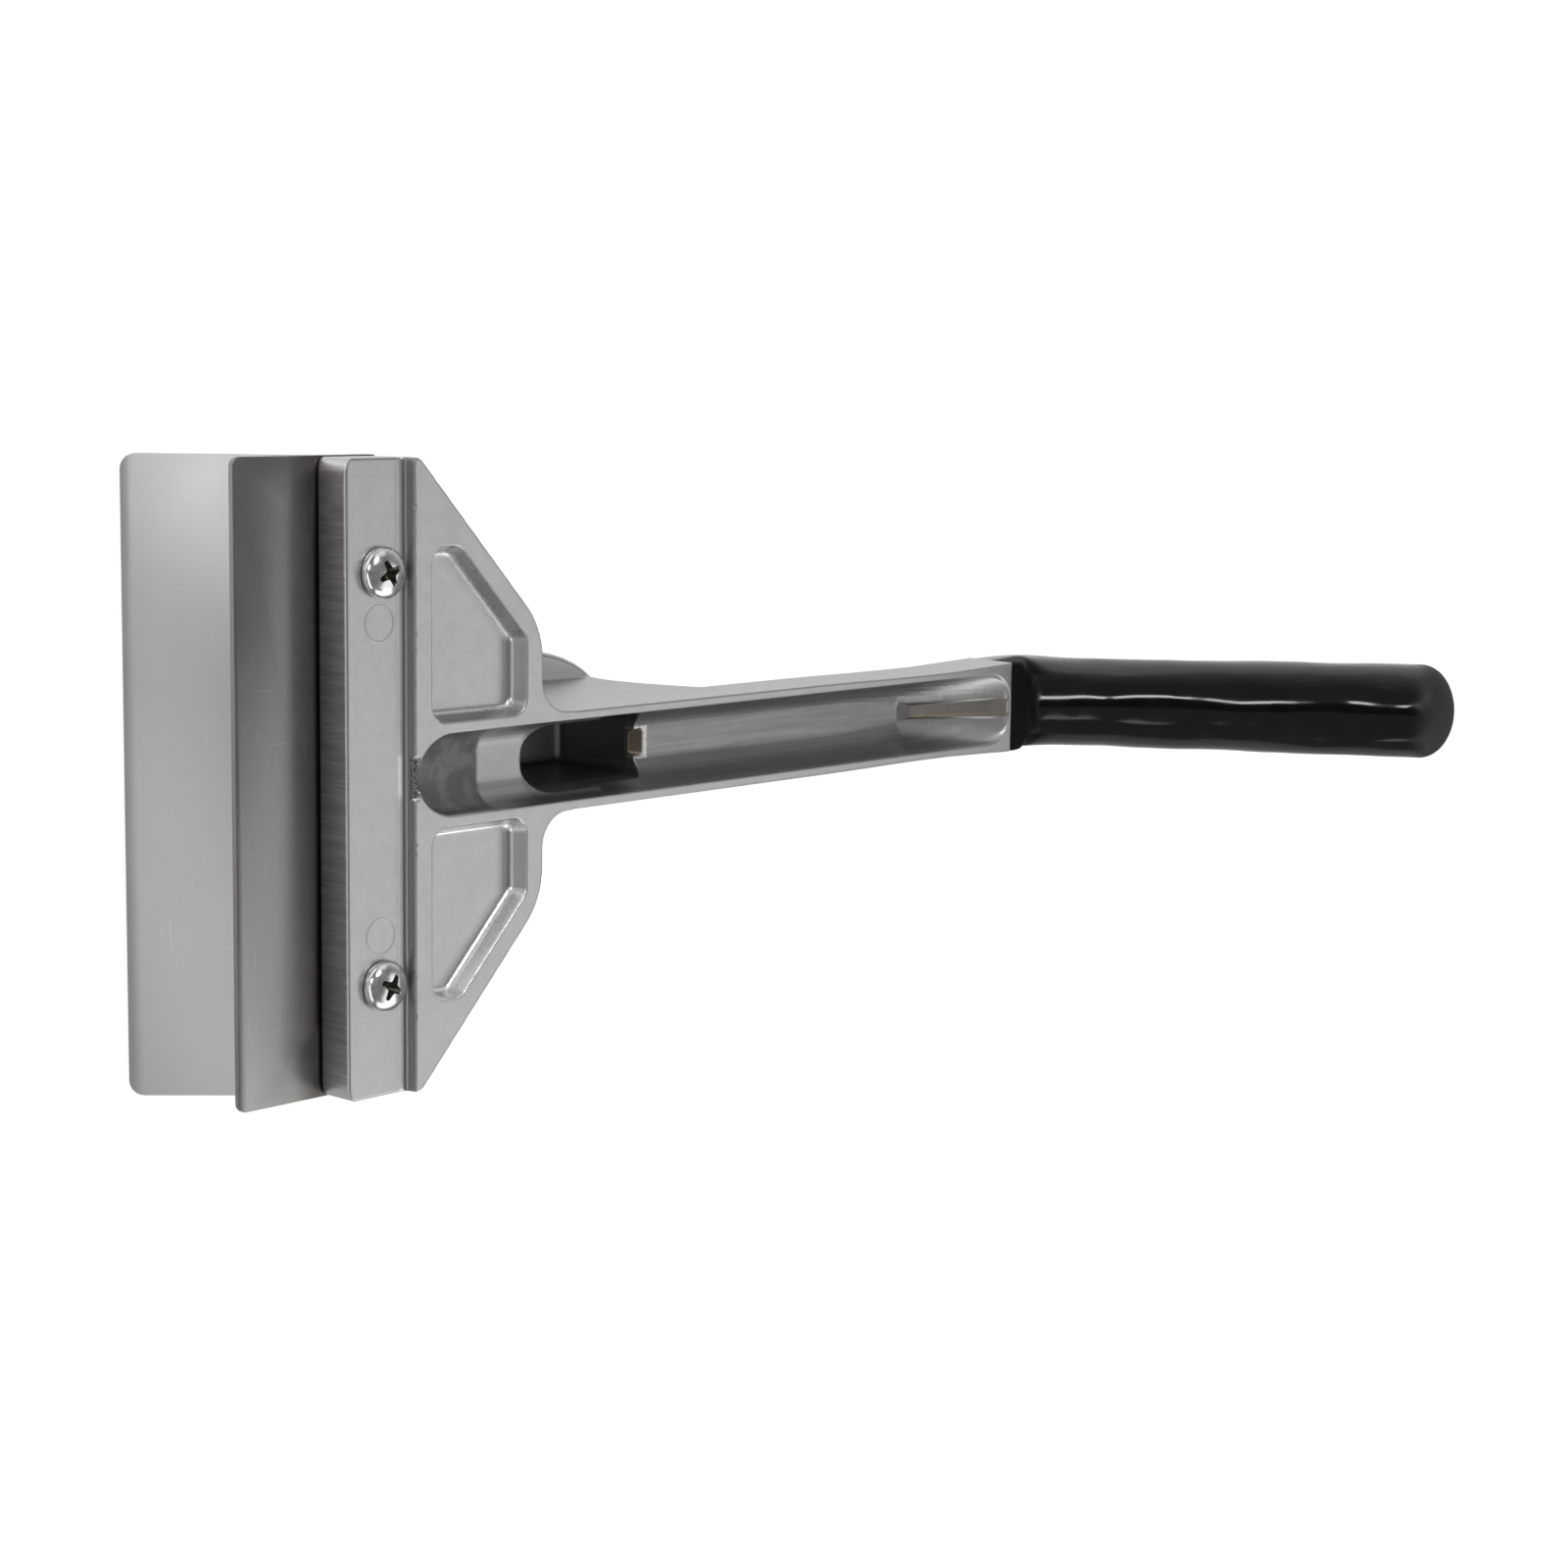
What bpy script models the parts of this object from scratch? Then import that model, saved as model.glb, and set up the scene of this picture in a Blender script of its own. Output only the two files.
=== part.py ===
import bpy
import bmesh
import math

# Grill scraper lying with its underside up: X runs from the blades to the grip,
# Y is the blade width, Z is up. Lengths are typed in millimetres and scaled by MM.

MM = 0.001

# Fit between pieces that touch
GAP = 0.3

# Main sizes
BLADE_WIDTH = 152.4
ARM_LENGTH = 248.2
GRIP_LENGTH = 125.6
GRIP_ANGLE = 55.0

# Head of the casting
BAR_DEPTH = 18.47
BAR_THICK = 10.2
BAR_END_INSET = 0.3
BAR_CORNER_S = 1.9
BAR_CORNER_Y = 4.0
STEP_HEIGHT = 2.9
STEP_FILLET = 1.5
STEP_DRAFT = 0.35
PLATE_THICK = 8.6
PLATE_SHOULDER = 1.75
PLATE_TIP_R = 3.0
PLATE_LENGTH = 41.53
PLATE_SLANT_DEG = 46.73
PLATE_CORNER_R = 20.0
NECK_FILLET = 8.5
UNDERSIDE_FLAT = 4.5
UNDERSIDE_RAMP = 6.5

# Pockets in the plate, one each side of the arm
POCKET_SETBACK = 5.45
POCKET_WALL = 5.3
POCKET_RIM = 5.4
POCKET_DEPTH = 4.6
POCKET_TOP = 9.0
POCKET_ARM_WALL = 0.15
POCKET_CORNER_R = 4.5
POCKET_DRAFT = 1.25
POCKET_BASE_R = 1.9

# Trough-shaped arm
ARM_HALF = 12.45
ARM_WAIST = 0.3
ARM_WAIST_SETBACK = 40.2
ARM_WAIST_LENGTH = 45.0
ARM_FLARE_LENGTH = 26.0
ARM_MOUTH_FLARE = 0.65
ARM_HEIGHT = 17.8
ARM_EDGE_R = 0.6
ARM_BASE_R = 2.4
ARM_DRAFT = 0.3

# Trough inside the arm
TROUGH_HALF = 10.17
TROUGH_DEPTH = 14.6
TROUGH_SHALLOW = 3.0
TROUGH_BASE_R = 6.7
TROUGH_SETBACK = 1.03
TROUGH_START_ROUND = 12.0
TROUGH_END_WALL = 1.2
TROUGH_END_ROUND = 11.0
TROUGH_END_POWER = 2.6
TROUGH_RAMP_LENGTH = 34.3
RIB_FOOT_HALF = 2.9
RIB_HALF_START = 1.75
RIB_HALF_END = 2.7
RIB_HEIGHT = 1.1
RIB_NOSE = 3.5
RIB_END_GAP = 0.6
SLOPE_LENGTH = 26.7
SLOPE_DROP = 5.9
SHELF_LENGTH = 14.6

# Hollow hump and its flat pad on the far side of the arm
WELL_LENGTH = 49.1
WELL_HALF = 8.5
WELL_START_R = 8.0
WELL_END_R = 3.4
WELL_LIP_LENGTH = 3.6
WELL_LIP_DROP = 2.1
WELL_LIP_HALF = 3.5
WELL_DRAFT = 1.3
HUMP_START_WALL = 8.8
HUMP_END_WALL = 9.9
HUMP_FOOT_HALF = 14.8
HUMP_CORNER_R = 4.6
HUMP_FLARE = 20.0
PAD_OFFSET = 1.6
PAD_LENGTH = 73.4
PAD_WIDTH = 46.2
PAD_POWER = 2.2
PAD_THICK = 6.4
PAD_EDGE_R = 1.4

# Blades
BLADE_THICK = 1.5
STRAIGHT_OVERHANG = 24.2
STRAIGHT_CORNER_R = 2.2
ANGLED_THICK = 1.6
ANGLED_LEG = 44.1
ANGLED_DEG = 45.0
ANGLED_BEND_R = 1.4
ANGLED_CORNER_R = 3.6
BLADE_REAR = 17.8

# Clamp bar
CLAMP_THICK = 4.5
CLAMP_FRONT = 2.0
CLAMP_END_INSET = 0.7
CLAMP_CORNER_R = 2.0

# Screws, washers, nuts
SCREW_S = 10.6
SCREW_END_DISTANCE = 27.1
SHANK_D = 6.35
HEAD_D = 12.4
HEAD_H = 3.6
HEAD_RIM = 0.9
RECESS_W = 1.5
RECESS_L = 6.4
RECESS_DEPTH = 2.1
WASHER_D = 12.4
WASHER_THICK = 1.6
WASHER_SPLIT = 0.9
NUT_FLATS = 11.1
NUT_THICK = 5.6
NUT_CHAMFER = 0.55
SHANK_TAIL = 2.0

# Grip
GRIP_LEAD = 17.4
GRIP_MORPH = 42.0
GRIP_BEND_R = 23.0
GRIP_MOUTH_HALF = 13.3
GRIP_BEND_SWELL = 0.35
GRIP_D_START = 26.4
GRIP_D_END = 27.8
GRIP_DOME = 10.0
GRIP_WALL = 2.0

# Levels that follow from the sizes above; the ledge face is level 0
N_TOP = STEP_HEIGHT
N_BAR = -BAR_THICK
N_PLATE = N_TOP - PLATE_THICK
N_ARM = N_TOP - ARM_HEIGHT
N_AXIS = (N_TOP + N_ARM) / 2
N_BLADE = N_BAR - GAP
N_ANGLED = N_BLADE - BLADE_THICK - GAP
N_CLAMP = N_ANGLED - ANGLED_THICK - GAP
N_WASHER = N_CLAMP - CLAMP_THICK - GAP
N_NUT = N_WASHER - WASHER_THICK - GAP
HALF = BLADE_WIDTH / 2
HOLE_D = SHANK_D + 2 * GAP
ANGLED_RAD = math.radians(ANGLED_DEG)
N_REST = N_ANGLED - math.sin(ANGLED_RAD) * ANGLED_LEG - math.cos(ANGLED_RAD) * ANGLED_THICK
N_PAD = N_REST + PAD_THICK
OVER = 4.0

# Stations along the arm that follow from the sizes above; the bar's front face is station 0
PLATE_END = BAR_DEPTH + PLATE_LENGTH
PLATE_SLOPE = math.tan(math.radians(PLATE_SLANT_DEG))
SCREW_Y = HALF - SCREW_END_DISTANCE
POCKET_START = BAR_DEPTH + POCKET_SETBACK
TROUGH_START = BAR_DEPTH + TROUGH_SETBACK
TROUGH_END = ARM_LENGTH - TROUGH_END_WALL
RAMP_START = TROUGH_END - TROUGH_RAMP_LENGTH
SLOPE_END = TROUGH_START + SLOPE_LENGTH
WELL_START = SLOPE_END + SHELF_LENGTH
WELL_END = WELL_START + WELL_LENGTH
HUMP_START = WELL_START - HUMP_START_WALL
HUMP_END = WELL_END + HUMP_END_WALL
PAD_CENTRE = (HUMP_START + HUMP_END) / 2 + PAD_OFFSET
GRIP_CORNER = ARM_LENGTH + GRIP_LEAD
WAIST = ARM_LENGTH - ARM_WAIST_SETBACK


def clear_scene():
    for ob in list(bpy.data.objects):
        bpy.data.objects.remove(ob, do_unlink=True)


def make_material(name, colour, metallic, roughness):
    mat = bpy.data.materials.new(name)
    mat.use_nodes = True
    shader = mat.node_tree.nodes["Principled BSDF"]
    shader.inputs["Base Color"].default_value = (*colour, 1.0)
    shader.inputs["Metallic"].default_value = metallic
    shader.inputs["Roughness"].default_value = roughness
    return mat


def add_object(name, verts, faces, mat=None):
    mesh = bpy.data.meshes.new(name)
    bm = bmesh.new()
    points = [bm.verts.new([c * MM for c in v]) for v in verts]
    for face in faces:
        bm.faces.new([points[i] for i in face])
    bmesh.ops.remove_doubles(bm, verts=bm.verts, dist=0.00001)
    bmesh.ops.recalc_face_normals(bm, faces=bm.faces)
    bm.to_mesh(mesh)
    bm.free()
    if mat:
        mesh.materials.append(mat)
    ob = bpy.data.objects.new(name, mesh)
    bpy.context.scene.collection.objects.link(ob)
    if not mat:
        ob.hide_render = True
        ob.display_type = "WIRE"
    return ob


def loft(name, rings, mat=None):
    """Closed body through rings of equal point count."""
    count = len(rings[0])
    verts = [p for ring in rings for p in ring]
    faces = []
    for i in range(len(rings) - 1):
        for j in range(count):
            k = (j + 1) % count
            faces.append((i * count + j, i * count + k, (i + 1) * count + k, (i + 1) * count + j))
    faces.append(tuple(range(count)))
    faces.append(tuple(range((len(rings) - 1) * count, len(rings) * count)))
    return add_object(name, verts, faces, mat)


def combine(target, tool, operation):
    mod = target.modifiers.new(operation.lower() + "_" + tool.name, "BOOLEAN")
    mod.object = tool
    mod.operation = operation
    mod.solver = "EXACT"
    return target


def cut(target, tool):
    return combine(target, tool, "DIFFERENCE")


def unite(target, tool):
    return combine(target, tool, "UNION")


def arc(cx, cy, r, a0, a1, steps):
    out = []
    for i in range(steps + 1):
        a = math.radians(a0 + (a1 - a0) * i / steps)
        out.append((cx + r * math.cos(a), cy + r * math.sin(a)))
    return out


def round_corners(points, radii, steps=6):
    """Polygon with each corner replaced by an arc of the given radius."""
    out = []
    count = len(points)
    for i in range(count):
        px, py = points[i]
        ax, ay = points[i - 1]
        bx, by = points[(i + 1) % count]
        r = radii[i]
        if r <= 0:
            out.append((px, py))
            continue
        ua = math.hypot(ax - px, ay - py)
        ub = math.hypot(bx - px, by - py)
        dax, day = (ax - px) / ua, (ay - py) / ua
        dbx, dby = (bx - px) / ub, (by - py) / ub
        half = math.acos(max(-1.0, min(1.0, dax * dbx + day * dby))) / 2
        reach = r / math.tan(half)
        mx, my = dax + dbx, day + dby
        ml = math.hypot(mx, my)
        far = r / math.sin(half)
        cx, cy = px + mx / ml * far, py + my / ml * far
        a0 = math.atan2(py + day * reach - cy, px + dax * reach - cx)
        a1 = math.atan2(py + dby * reach - cy, px + dbx * reach - cx)
        turn = (a1 - a0 + math.pi) % (2 * math.pi) - math.pi
        for k in range(steps + 1):
            a = a0 + turn * k / steps
            out.append((cx + r * math.cos(a), cy + r * math.sin(a)))
    return out


def offset_outline(outline, d):
    """Move each point of a closed counter-clockwise outline inwards by d."""
    out = []
    count = len(outline)
    for i in range(count):
        ax, ay = outline[i - 1]
        px, py = outline[i]
        bx, by = outline[(i + 1) % count]
        n1 = (-(py - ay), px - ax)
        n2 = (-(by - py), bx - px)
        l1 = math.hypot(*n1)
        l2 = math.hypot(*n2)
        nx, ny = n1[0] / l1 + n2[0] / l2, n1[1] / l1 + n2[1] / l2
        ln = math.hypot(nx, ny)
        nx, ny = nx / ln, ny / ln
        cosine = nx * n1[0] / l1 + ny * n1[1] / l1
        out.append((px + nx * d / cosine, py + ny * d / cosine))
    return out


def level_ring(outline, n):
    return [(s, y, n) for s, y in outline]


def prism(name, outline, n0, n1, mat=None):
    return loft(name, [level_ring(outline, n0), level_ring(outline, n1)], mat)


def soft_prism(name, outline, n0, n1, r, mat=None, steps=3):
    """Prism with rounded upper and lower edges."""
    rings = []
    for i in range(steps + 1):
        a = math.pi / 2 * i / steps
        rings.append(level_ring(offset_outline(outline, r * (1 - math.sin(a))), n0 + r * (1 - math.cos(a))))
    for i in range(steps + 1):
        a = math.pi / 2 * (1 - i / steps)
        rings.append(level_ring(offset_outline(outline, r * (1 - math.sin(a))), n1 - r * (1 - math.cos(a))))
    return loft(name, rings, mat)


def cylinder(name, s, y, d, n0, n1, mat=None, sides=40):
    circle = [(s + x, y + v) for x, v in arc(0, 0, d / 2, 0, 360 - 360 / sides, sides - 1)]
    return prism(name, circle, n0, n1, mat)


def rounded_box(half, top, bottom, r_top, r_bottom, steps=6):
    """Cross-section as (across, up) points, with two upper and two lower corner radii."""
    r_top = min(r_top, half * 0.995, (top - bottom) / 2 * 0.995)
    r_bottom = min(r_bottom, half * 0.995, (top - bottom) / 2 * 0.995)
    out = arc(half - r_top, top - r_top, r_top, 0, 90, steps)
    out += arc(-half + r_top, top - r_top, r_top, 90, 180, steps)
    out += arc(-half + r_bottom, bottom + r_bottom, r_bottom, 180, 270, steps)
    out += arc(half - r_bottom, bottom + r_bottom, r_bottom, 270, 360, steps)
    return out


def smooth(t):
    t = max(0.0, min(1.0, t))
    return t * t * (3 - 2 * t)


def blend(a, b, t):
    return a + (b - a) * t


# Head of the casting: side profile crossed with plan outline

def head_plan():
    """Plan outline with oval front corners, slanted sides and the neck to the arm."""
    half = HALF - BAR_END_INSET
    s1 = BAR_DEPTH + PLATE_SHOULDER
    s2 = PLATE_END
    y2 = half - (s2 - s1) * PLATE_SLOPE
    s_neck = s2 + NECK_FILLET + 2.0
    y_neck = ARM_HALF + ARM_DRAFT * 0.3
    side = [(s1, half), (s2, y2), (s2, y_neck), (s_neck, y_neck)]
    radii = [PLATE_TIP_R, PLATE_CORNER_R, NECK_FILLET, 0.0]
    front = []
    for k in range(7):
        a = math.radians(15 * k)
        front.append((BAR_CORNER_S * (1 - math.cos(a)), half - BAR_CORNER_Y * (1 - math.sin(a))))
    points = [(s, -y) for s, y in front + side] + [(s, y) for s, y in reversed(front + side)]
    corner = [0.0] * len(front) + radii
    return round_corners(points, corner + list(reversed(corner)), 7)


def head_profile():
    rear = PLATE_END + NECK_FILLET + OVER
    edge = 0.5
    foot = BAR_DEPTH - STEP_DRAFT
    points = [(edge, N_BAR), (0.0, N_BAR + edge)] + arc(edge, -edge, edge, 180, 90, 3)
    points += arc(foot - STEP_FILLET, STEP_FILLET, STEP_FILLET, 270, 360, 5)
    points += [(BAR_DEPTH, N_TOP), (rear, N_TOP), (rear, N_PLATE)]
    ramp = BAR_DEPTH + UNDERSIDE_FLAT
    points += [(ramp + UNDERSIDE_RAMP, N_PLATE), (ramp, N_BAR)]
    return points


def make_head(mat):
    wide = HALF + OVER
    profile = head_profile()
    rings = [[(s, y, n) for s, n in profile] for y in (-wide, wide)]
    head = loft("cast_body", rings, mat)
    plan = prism("cutter_head_plan", head_plan(), N_BAR - OVER, N_TOP + OVER)
    return combine(head, plan, "INTERSECT")


# Arm, bend and core

def arm_half(s):
    """Half width at the rim: a slight waist, then a flare at the grip."""
    waist = ARM_WAIST * smooth(1 - abs(s - WAIST) / ARM_WAIST_LENGTH)
    flare = ARM_MOUTH_FLARE * smooth((s - ARM_LENGTH) / ARM_FLARE_LENGTH + 1)
    return ARM_HALF - waist + flare


def path_point(t):
    """Point and direction on the centre line; t is 0 at the mouth of the grip."""
    tangent = GRIP_BEND_R * math.tan(math.radians(GRIP_ANGLE / 2))
    lead = GRIP_CORNER - tangent - ARM_LENGTH
    turn = GRIP_BEND_R * math.radians(GRIP_ANGLE)
    if t <= lead:
        return ARM_LENGTH + t, N_AXIS, 0.0
    if t <= lead + turn:
        a = (t - lead) / GRIP_BEND_R
        s = GRIP_CORNER - tangent + GRIP_BEND_R * math.sin(a)
        return s, N_AXIS + GRIP_BEND_R * (1 - math.cos(a)), a
    a = math.radians(GRIP_ANGLE)
    k = tangent + t - lead - turn
    return GRIP_CORNER + k * math.cos(a), N_AXIS + k * math.sin(a), a


def path_length():
    tangent = GRIP_BEND_R * math.tan(math.radians(GRIP_ANGLE / 2))
    lead = GRIP_CORNER - tangent - ARM_LENGTH
    turn = GRIP_BEND_R * math.radians(GRIP_ANGLE)
    return lead + turn + GRIP_LENGTH - tangent


def placed_ring(section, s, n, a):
    return [(s - v * math.sin(a), u, n + v * math.cos(a)) for u, v in section]


def grip_rings(inset, t_start=0.0):
    """Rings of the grip from its mouth to the dome, shrunk by inset all round."""
    total = path_length()
    dome = total - GRIP_DOME
    morph = GRIP_MORPH
    stations = [t_start]
    stations += [morph * k / 12 for k in range(1, 13)]
    stations += [blend(morph, dome, k / 4) for k in range(1, 5)]
    rings = []
    for t in stations:
        m = smooth(t / morph)
        radius = blend(GRIP_D_START, GRIP_D_END, max(0.0, (t - morph) / (dome - morph))) / 2
        swell = GRIP_BEND_SWELL * smooth(1 - abs(t - 13.0) / 13.0)
        half = blend(GRIP_MOUTH_HALF, radius, m) + swell - inset
        high = blend(ARM_HEIGHT / 2 + 0.2, radius, m) - inset
        corner = max(0.4, blend(3.0, radius, smooth(t / (morph * 0.8))) - inset)
        base = max(0.4, blend(ARM_BASE_R, radius, smooth(t / (morph * 0.8))) - inset)
        rings.append(placed_ring(rounded_box(half, high, -high, corner, base), *path_point(t)))
    radius = GRIP_D_END / 2 - inset
    depth = GRIP_DOME - inset
    for k in range(1, 8):
        a = math.pi / 2 * k / 7.4
        r = radius * math.cos(a)
        ring = rounded_box(r, r, -r, r, r)
        rings.append(placed_ring(ring, *path_point(dome + depth * math.sin(a))))
    return rings


def make_arm():
    """Outside of the arm from the head to the mouth, then the core in the grip."""
    rings = []
    start = BAR_DEPTH + 4.0
    stations = [start + (HUMP_START - start) * k / 4 for k in range(5)]
    stations += [(HUMP_START + WELL_END) / 2, WELL_END]
    rest = ARM_LENGTH - GAP - WELL_END
    stations += [WELL_END + rest * k / 10 for k in range(2, 11)]
    for s in stations:
        low = blend(N_BAR, N_ARM, smooth((s - start) / (HUMP_START - start)))
        half = arm_half(s)
        section = rounded_box(half, N_TOP - N_AXIS, low - N_AXIS, ARM_EDGE_R, ARM_BASE_R)
        span = N_TOP - low
        drafted = [(u * (1 + ARM_DRAFT / half * (N_TOP - N_AXIS - v) / span), v) for u, v in section]
        rings.append(placed_ring(drafted, s, N_AXIS, 0.0))
    rings += grip_rings(GRIP_WALL + GAP, -GAP)
    return loft("cutter_arm", rings)


# Trough cutter

def well_middle():
    return (WELL_START + WELL_END) / 2


def trough_floor(s):
    """Depth of the trough below the rim at a station."""
    if s < SLOPE_END:
        return TROUGH_SHALLOW + SLOPE_DROP * (s - TROUGH_START) / SLOPE_LENGTH
    if s < well_middle():
        return TROUGH_SHALLOW + SLOPE_DROP
    if s < RAMP_START:
        return TROUGH_DEPTH
    rise = (s - RAMP_START) / TROUGH_RAMP_LENGTH
    return max(0.6, TROUGH_DEPTH * (1 - rise ** 1.15))


def trough_half(s):
    first = TROUGH_START + TROUGH_START_ROUND
    last = TROUGH_END - TROUGH_END_ROUND
    if s < first:
        return TROUGH_HALF * math.sqrt(max(0.004, 1 - ((first - s) / TROUGH_START_ROUND) ** 2))
    if s > last:
        reach = (s - last) / TROUGH_END_ROUND
        return TROUGH_HALF * max(0.004, 1 - reach ** TROUGH_END_POWER) ** (1 / TROUGH_END_POWER)
    return TROUGH_HALF


def trough_stations():
    first = TROUGH_START + TROUGH_START_ROUND
    last = TROUGH_END - TROUGH_END_ROUND
    out = [first - TROUGH_START_ROUND * math.cos(math.radians(9 * k)) for k in range(10)]
    out += [SLOPE_END, (SLOPE_END + WELL_START) / 2, WELL_START]
    out += [well_middle() - 0.1, well_middle() + 0.1]
    out += [blend(WELL_END, RAMP_START, k / 4) for k in range(5)]
    out += [blend(RAMP_START, last, k / 5) for k in range(1, 5)]
    for k in range(11):
        out.append(last + TROUGH_END_ROUND * math.sin(math.radians(9 * k)) ** (2 / TROUGH_END_POWER))
    return sorted(out)


def make_trough():
    rings = []
    for s in trough_stations():
        half = trough_half(s)
        depth = trough_floor(s)
        round_in = smooth((s - RAMP_START + 8.0) / 12.0)
        reach = min(blend(TROUGH_BASE_R, TROUGH_HALF - 1.0, round_in), half * blend(0.7, 0.86, round_in))
        rise = depth * 0.82
        slim = min(0.35, half * 0.1)
        low = N_TOP - depth
        side = [(half + 0.1, N_TOP + OVER), (half, N_TOP)]
        for u, v in arc(0.0, 0.0, 1.0, 0, -90, 8):
            side.append((half - slim - reach * (1 - u), low + rise * (1 + v)))
        ring = side + [(-y, n) for y, n in reversed(side)]
        rings.append([(s, y, n) for y, n in ring])
    return loft("cutter_trough", rings)


def make_rib():
    """Narrow flat-topped rib that runs up the ramp at the trough's end, with a sloping nose."""
    end = TROUGH_END - RIB_END_GAP
    rings = []
    for s in (RAMP_START, RAMP_START + RIB_NOSE, *[blend(RAMP_START + RIB_NOSE, end, k / 6) for k in range(1, 7)]):
        along = (s - RAMP_START) / (end - RAMP_START)
        floor = N_TOP - trough_floor(s)
        half = blend(RIB_HALF_START, RIB_HALF_END, along) if s > RAMP_START else RIB_FOOT_HALF
        height = blend(RIB_HEIGHT, 0.2, along) if s > RAMP_START else -0.1
        top = min(floor + height, N_TOP - 0.15)
        side = [(half + 0.25, floor - 1.0), (half + 0.2, floor - 0.2), (half, top)]
        ring = side + [(-y, n) for y, n in reversed(side)]
        rings.append([(s, y, n) for y, n in ring])
    return loft("cutter_rib", rings)


def make_well():
    """Deep pocket in the floor of the trough above the hump."""
    outline = well_outline()
    rings = [level_ring(outline, N_TOP - TROUGH_SHALLOW)]
    for n, inset in ((N_TOP - TROUGH_DEPTH - WELL_LIP_DROP, 0.0), (N_PAD + 2.0, WELL_DRAFT),
                     (N_PAD + 0.6, WELL_DRAFT + 0.6), (N_PAD, WELL_DRAFT + 2.0)):
        rings.append(level_ring(offset_outline(outline, inset), n))
    return loft("cutter_well", rings)


def well_outline():
    end = WELL_END - WELL_LIP_LENGTH
    box = [(WELL_START, -WELL_HALF), (end, -WELL_HALF), (end, WELL_HALF), (WELL_START, WELL_HALF)]
    return round_corners(box, [WELL_START_R, WELL_END_R, WELL_END_R, WELL_START_R], 6)


def make_well_lip():
    """Sloping notch in the trough's floor where it drops into the well."""
    floor = N_TOP - TROUGH_DEPTH
    start = WELL_END - WELL_LIP_LENGTH - 2.0
    rings = []
    for rise in (0.6, 0.0, -WELL_LIP_DROP - 0.4):
        end = WELL_END + rise * WELL_LIP_LENGTH / WELL_LIP_DROP
        half = WELL_LIP_HALF + 0.25 * rise
        box = [(start, -half), (end, -half), (end, half), (start, half)]
        rings.append(level_ring(round_corners(box, [0.2, 0.7, 0.7, 0.2], 3), floor + rise))
    return loft("cutter_well_lip", rings)


# Hump and pad on the far side

def make_hump():
    """Wall of the hump, flush with the arm's sides and flaring into its far face."""
    rings = []
    top = N_TOP - ARM_HEIGHT * 0.6
    drop = top - N_PAD + 1.0
    half_top = ARM_HALF + ARM_DRAFT * 0.6 + 0.04
    for k in range(0, 15):
        u = k / 14
        flare = HUMP_FLARE * max(0.0, 1 - u / 0.86) ** 1.5
        half = blend(half_top, HUMP_FOOT_HALF, u)
        s0 = HUMP_START + 3.0 * u - flare * 0.35
        s1 = HUMP_END + flare
        box = [(s0, -half), (s1, -half), (s1, half), (s0, half)]
        outline = round_corners(box, [half * 0.8, HUMP_CORNER_R, HUMP_CORNER_R, half * 0.8], 7)
        rings.append(level_ring(outline, top - drop * u))
    return loft("cutter_hump", rings)


def pad_outline():
    out = []
    for k in range(48):
        a = 2 * math.pi * k / 48
        c, d = math.cos(a), math.sin(a)
        s = math.copysign(abs(c) ** (2 / PAD_POWER), c) * PAD_LENGTH / 2
        y = math.copysign(abs(d) ** (2 / PAD_POWER), d) * PAD_WIDTH / 2
        out.append((PAD_CENTRE + s, y))
    return out


def make_pad():
    return soft_prism("cutter_pad", pad_outline(), N_REST, N_PAD, PAD_EDGE_R)


# Pockets beside the arm

def pocket_outline(side):
    s_end = PLATE_END - POCKET_WALL
    s_top = POCKET_START + POCKET_TOP
    slant_y = HALF - (s_top - BAR_DEPTH - PLATE_SHOULDER) * PLATE_SLOPE
    run = math.hypot(1.0, PLATE_SLOPE)
    y_in = ARM_HALF + POCKET_ARM_WALL
    y_top = slant_y - POCKET_RIM * run
    y_end = y_top - (s_end - s_top) * PLATE_SLOPE
    points = [(POCKET_START, y_in), (s_end, y_in), (s_end, y_end), (s_top, y_top), (POCKET_START, y_top)]
    outline = round_corners(points, [POCKET_CORNER_R] * len(points), 5)
    if side < 0:
        outline = [(s, -y) for s, y in reversed(outline)]
    return outline


def make_pocket(side):
    """Pocket with drafted walls that round into a flat floor."""
    outline = pocket_outline(side)
    rings = [level_ring(outline, N_TOP + OVER), level_ring(outline, N_TOP)]
    first = math.radians(20)
    floor = N_TOP - POCKET_DEPTH
    for k in range(5):
        a = blend(first, math.pi / 2, k / 4)
        inset = POCKET_DRAFT + POCKET_BASE_R * (math.cos(first) - math.cos(a))
        rings.append(level_ring(offset_outline(outline, inset), floor + POCKET_BASE_R * (1 - math.sin(a))))
    name = "cutter_pocket_left" if side > 0 else "cutter_pocket_right"
    return loft(name, rings)


def make_cast_body(mat):
    body = make_head(mat)
    unite(body, make_arm())
    unite(body, make_hump())
    unite(body, make_pad())
    cut(body, make_trough())
    cut(body, make_well())
    cut(body, make_well_lip())
    unite(body, make_rib())
    for side in (1, -1):
        cut(body, make_pocket(side))
    drill(body, "body", N_BAR - OVER, OVER)
    return body


def drill(target, label, n0, n1):
    for side, tag in ((1, "left"), (-1, "right")):
        hole = cylinder("cutter_%s_hole_%s" % (label, tag), SCREW_S, side * SCREW_Y, HOLE_D, n0, n1)
        cut(target, hole)


# Blades and clamp bar

def strip_half(reach, r, half):
    """Half width of a blade at a distance from its rounded tip."""
    if reach >= r:
        return half
    return half - r + math.sqrt(max(0.0, r * r - (r - reach) ** 2))


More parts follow.
